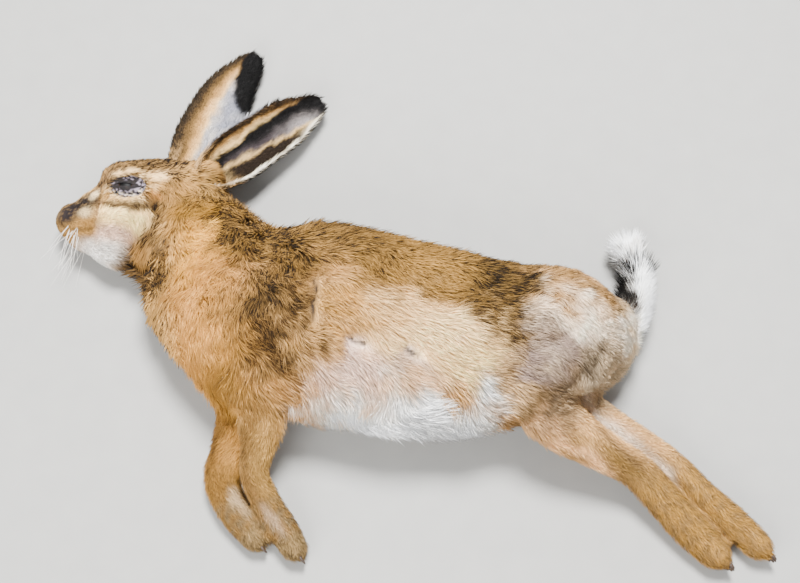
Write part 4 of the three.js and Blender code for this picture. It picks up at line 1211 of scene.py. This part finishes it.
def coat_nodes():
    """Tufts scattered over one zone of the skin, laid along the lie of the hair."""
    tree = bpy.data.node_groups.new("coat", "GeometryNodeTree")
    tree.is_modifier = True
    for name, kind in (
        ("Skin", "Geometry"), ("Tufts", "Collection"), ("Zone", "Int"), ("Density", "Float"),
        ("Width", "Float"), ("Seed", "Int"), ("Finish", "Material"),
    ):
        tree.interface.new_socket(name, in_out="INPUT", socket_type=f"NodeSocket{kind}")
    tree.interface.new_socket("Coat", in_out="OUTPUT", socket_type="NodeSocketGeometry")
    given = add(tree, "NodeGroupInput").outputs
    # What the skin and the tufts carry, and random values for every tuft.
    field, chance = {}, {}
    for names, kind in (
        ("zone", "INT"), ("dense lift hair_length", "FLOAT"),
        ("out lie patch OFBake", "FLOAT_VECTOR"),
    ):
        for name in names.split():
            field[name] = add(
                tree, "GeometryNodeInputNamedAttribute", {"Name": name}, data_type=kind
            )
    for name, kind, low, high, salt in (
        ("tone", "FLOAT", 0, 0.5, 11), ("vary", "FLOAT", 0, 0.4, 12),
        ("jitter", "FLOAT_VECTOR", (-0.26, -0.26, -0.2), (0.26, 0.26, 0.2), 3),
        ("long", "FLOAT", 0.72, 1.15, 5), ("wide", "FLOAT", 0.7 * MM, 1.25 * MM, 7),
        ("tuft", "INT", 0, 11, 9),
    ):
        seed = add(tree, MATH, [given["Seed"], salt], **PLUS)
        chance[name] = add(
            tree, "FunctionNodeRandomValue", {"Min": low, "Max": high, "Seed": seed}, data_type=kind
        )
    # Points over the faces of the zone, as close as the skin says.
    here = add(tree, "FunctionNodeCompare", {"A": field["zone"], "B": given["Zone"]},
               data_type="INT", operation="EQUAL")
    close = add(tree, MATH, [field["dense"], given["Density"]], **TIMES)
    spread = add(tree, "GeometryNodeDistributePointsOnFaces", {
        "Mesh": given["Skin"], "Selection": here, "Density": close, "Seed": given["Seed"],
    })
    where = add(tree, "GeometryNodeInputPosition")
    lock = add(tree, NOISE, {"Vector": where, "Scale": HAIR_LOCK, "Detail": 2})
    clump = add(tree, NOISE, {"Vector": where, "Scale": HAIR_CLUMP, "Detail": 2})
    ticking = add(tree, RANGE, [lock, 0.3, 0.7, 0, 0.5])
    tone = add(tree, MATH, [ticking, chance["tone"]], **PLUS)
    brightness = add(tree, RANGE, [clump, 0.32, 0.68, 0, 0.6])
    vary = add(tree, MATH, [brightness, chance["vary"]], **PLUS)
    points = spread
    for name, value, kind in (
        ("out", spread.outputs["Normal"], "FLOAT_VECTOR"), ("tone", tone, "FLOAT"),
        ("vary", vary, "FLOAT"),
    ):
        points = add(tree, STORE, {"Geometry": points, "Name": name, "Value": value},
                     data_type=kind, domain="POINT")
    # Each tuft aims along the lie, lifted off the skin. Locks lean together and single tufts
    # stray, both with little of it upwards.
    lean = add(tree, VECTOR_MATH, [lock.outputs["Color"], (0.5, 0.5, 0.5)], **MINUS)
    lean = add(tree, VECTOR_MATH, {0: lean, "Scale": LOCK_LEAN}, operation="SCALE")
    loose = add(tree, VECTOR_MATH, [lean, chance["jitter"]], **PLUS)
    rise = add(tree, VECTOR_MATH, {0: field["out"], "Scale": field["lift"]}, operation="SCALE")
    aim = add(tree, VECTOR_MATH, [field["lie"], rise], **PLUS)
    aim = add(tree, VECTOR_MATH, [aim, loose], **PLUS)
    upright = add(tree, VECTOR_MATH, [loose, field["out"]], operation="DOT_PRODUCT")
    upright = add(tree, MATH, [upright.outputs["Value"], HELD_DOWN], **TIMES)
    held = add(tree, VECTOR_MATH, {0: field["out"], "Scale": upright}, operation="SCALE")
    aim = add(tree, VECTOR_MATH, [aim, held], **MINUS)
    turn = add(tree, "FunctionNodeAxesToRotation", {
        "Primary Axis": aim, "Secondary Axis": field["out"],
    }, primary_axis="Z", secondary_axis="X")
    # A tuft is as long as the skin says, and longer tufts are wider.
    long = wide = field["hair_length"]
    for by in (chance["long"], MM):
        long = add(tree, MATH, [long, by], **TIMES)
    for step, by in (
        (TIMES, TUFT_GAIN), (PLUS, TUFT_BASE), (TIMES, given["Width"]), (TIMES, chance["wide"]),
    ):
        wide = add(tree, MATH, [wide, by], **step)
    size = add(tree, "ShaderNodeCombineXYZ", [long, wide, long])
    kinds = add(tree, "GeometryNodeCollectionInfo", {
        "Collection": given["Tufts"], "Separate Children": True, "Reset Children": True,
    })
    placed = add(tree, "GeometryNodeInstanceOnPoints", {
        "Points": points, "Instance": kinds, "Pick Instance": True,
        "Instance Index": chance["tuft"], "Rotation": turn, "Scale": size,
    })
    real = add(tree, "GeometryNodeRealizeInstances", {"Geometry": placed})
    # No hair goes below the floor.
    at = add(tree, "ShaderNodeSeparateXYZ", [where])
    high = add(tree, MATH, [at.outputs[2], TIPS_CLEAR * MM], operation="MAXIMUM")
    up = add(tree, "ShaderNodeCombineXYZ", [at.outputs[0], at.outputs[1], high])
    moved = add(tree, "GeometryNodeSetPosition", {"Geometry": real, "Position": up})
    # Each tuft has a small patch of the skin's map to itself.
    small = add(tree, VECTOR_MATH, [field["patch"], (MAP_SHARE, MAP_SHARE, 0)], **TIMES)
    patch = add(tree, VECTOR_MATH, [field["OFBake"], small], **PLUS)
    mapped = add(tree, STORE, {"Geometry": moved, "Name": "OFBake", "Value": patch},
                 data_type="FLOAT2", domain="CORNER")
    done = add(tree, "GeometryNodeSetMaterial", {"Geometry": mapped, "Material": given["Finish"]})
    add(tree, "NodeGroupOutput", [done])
    return tree


def scatter(tree, settings):
    """The node tree run on a copy of the skin, as a plain mesh."""
    piece = new_object("scatter", skin_mesh)
    run = piece.modifiers.new("coat", "NODES")
    run.node_group = tree
    ids = {s.name: s.identifier for s in tree.interface.items_tree if s.in_out == "INPUT"}
    for name, value in settings.items():
        run[ids[name]] = value
    made = evaluated_copy(piece)
    bpy.data.objects.remove(piece)
    return made


# Finished pieces.
fur, underfur = fur_look(), skin_look()
coat_tree = coat_nodes()
area = np.linalg.norm(crosses(co, tris), axis=1) / 2
for number, (name, wanted, long_hair) in enumerate(ZONES):
    covered = (area * dense[tris].mean(1))[zone[tris[:, 0]] == number].sum()
    mesh = scatter(coat_tree, {
        "Tufts": long_tufts if long_hair else short_tufts, "Zone": number,
        "Density": wanted / covered, "Width": EAR_TUFT_WIDTH if number == EARS else 1.0,
        "Seed": 40 + number, "Finish": fur,
    })
    for extra in ("out", "lie", "lift", "dense", "hair_length", "patch", "zone"):
        layer = mesh.attributes.get(extra)
        if layer:
            mesh.attributes.remove(layer)
    mesh.name = name
    piece = new_object(name, mesh)
    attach(piece, "root")

skin.data.materials.append(underfur)
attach(skin, "root")
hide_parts(*FLESH, "left_ear", "right_ear")

eye_finish = eye_look()
for name, side in (("left_eye", 1), ("right_eye", -1)):
    centre = to_frame([EYE["x"], EYE["y"], MIDLINE + side * EYE["out"]])
    mesh = new_mesh(f"{name}_ball", *ball(centre, EYE["radius"] * MM))
    piece = smooth_piece(mesh, eye_finish)
    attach(piece, "root")
    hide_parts(name)

claw_finish = claw_look()
for name in frame["nodes"]:
    if "claw" in name:
        bm = solid_of(name)
        bmesh.ops.subdivide_edges(bm, edges=bm.edges, cuts=1, smooth=0.6)
        mesh = bpy.data.meshes.new(f"{name}_horn")
        bm.to_mesh(mesh)
        bm.free()
        piece = smooth_piece(mesh, claw_finish)
        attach(piece, "root")
        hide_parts(name)


# Whiskers: tapered hairs from the muzzle's sides, swept out and back.
def whiskers():
    points, faces = [], []
    steps, each_side, in_a_row = 9, 12, 4
    thick, thin = 0.24, 0.04
    front, low = -355, 1.2  # no whisker reaches further
    for side in (1, -1):
        for i in range(each_side):
            row, place_in_row = divmod(i, in_a_row)
            root = np.array([-318 + 3.6 * place_in_row, 68 + 4.4 * row, MIDLINE + side * 12])
            root = root + rng.uniform(-1, 1, 3)
            long = rng.uniform(34, 62)
            aim = unit(np.array([rng.uniform(-0.75, 0.1), -0.9 + 0.2 * row, side * 0.3]))
            bow = np.array([0.2, -0.3, -0.5 * side]) * rng.uniform(0.1, 0.35)
            start = len(points)
            for k in range(steps):
                t = k / (steps - 1)
                at = root + aim * long * t + bow * long * t * t
                at[0] = max(at[0], front)
                at[2] = max(at[2], low)
                across = unit(np.cross(aim, [0.3, 0.2, 1.0]))
                rise = np.cross(aim, across)
                r = thick + (thin - thick) * t
                for j in range(4):
                    a = j * math.pi / 2
                    points.append(at + (across * math.cos(a) + rise * math.sin(a)) * r)
            for k in range(steps - 1):
                for j in range(4):
                    a, b = start + k * 4 + j, start + k * 4 + (j + 1) % 4
                    faces.append([a, b, b + 4, a + 4])
            faces.append([start + 3, start + 2, start + 1, start])
            end = start + (steps - 1) * 4
            faces.append([end, end + 1, end + 2, end + 3])
    mesh = new_mesh("whiskers", to_frame(points), faces)
    mesh.materials.append(whisker_look())
    return new_object("whiskers", mesh)


piece = whiskers()
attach(piece, "root")


# Studio: a pale floor, soft light and the view.
def floor():
    mesh = new_mesh("floor", [(-3, -3, 0), (3, -3, 0), (3, 3, 0), (-3, 3, 0)], [(0, 1, 2, 3)])
    mesh.materials.append(
        grained_look("pale_floor", FLOOR_GRAIN, 0x8C8B88, 0x94938F, Roughness=0.85)
    )
    return new_object("floor", mesh)


floor()


def soft_light(name, place_at, aim_at, size, watts):
    data = bpy.data.lights.new(name, "AREA")
    data.shape = "DISK"
    data.size = size
    data.energy = watts
    lamp = new_object(name, data)
    lamp.location = place_at
    lamp.rotation_euler = (Vector(aim_at) - Vector(place_at)).to_track_quat("-Z", "Y").to_euler()


soft_light("key_light", (0.1, 0.6, 1.95), (0, 0, 0), 0.6, 215)
soft_light("fill_light", (-0.7, -1.4, 1.2), (0, 0, 0), 1.4, 74)
world = bpy.data.worlds.new("studio")
world.use_nodes = True
backdrop = next(n for n in world.node_tree.nodes if n.type == "BACKGROUND")
feed(world.node_tree, backdrop, {"Color": rgb(0xE6E8EC), "Strength": 1.05})
bpy.context.scene.world = world

# The photo's camera: 72 degrees above the floor, 1.09 m from the middle of the hare.
camera_data = bpy.data.cameras.new("camera")
camera_data.lens = 52.28
camera_data.sensor_width = 36
camera_data.clip_start = 0.05
camera = new_object("camera", camera_data)
camera.location = (-0.00227, -0.3468, 1.0919)
camera.rotation_euler = Euler((math.radians(18), 0, 0))
bpy.context.scene.camera = camera
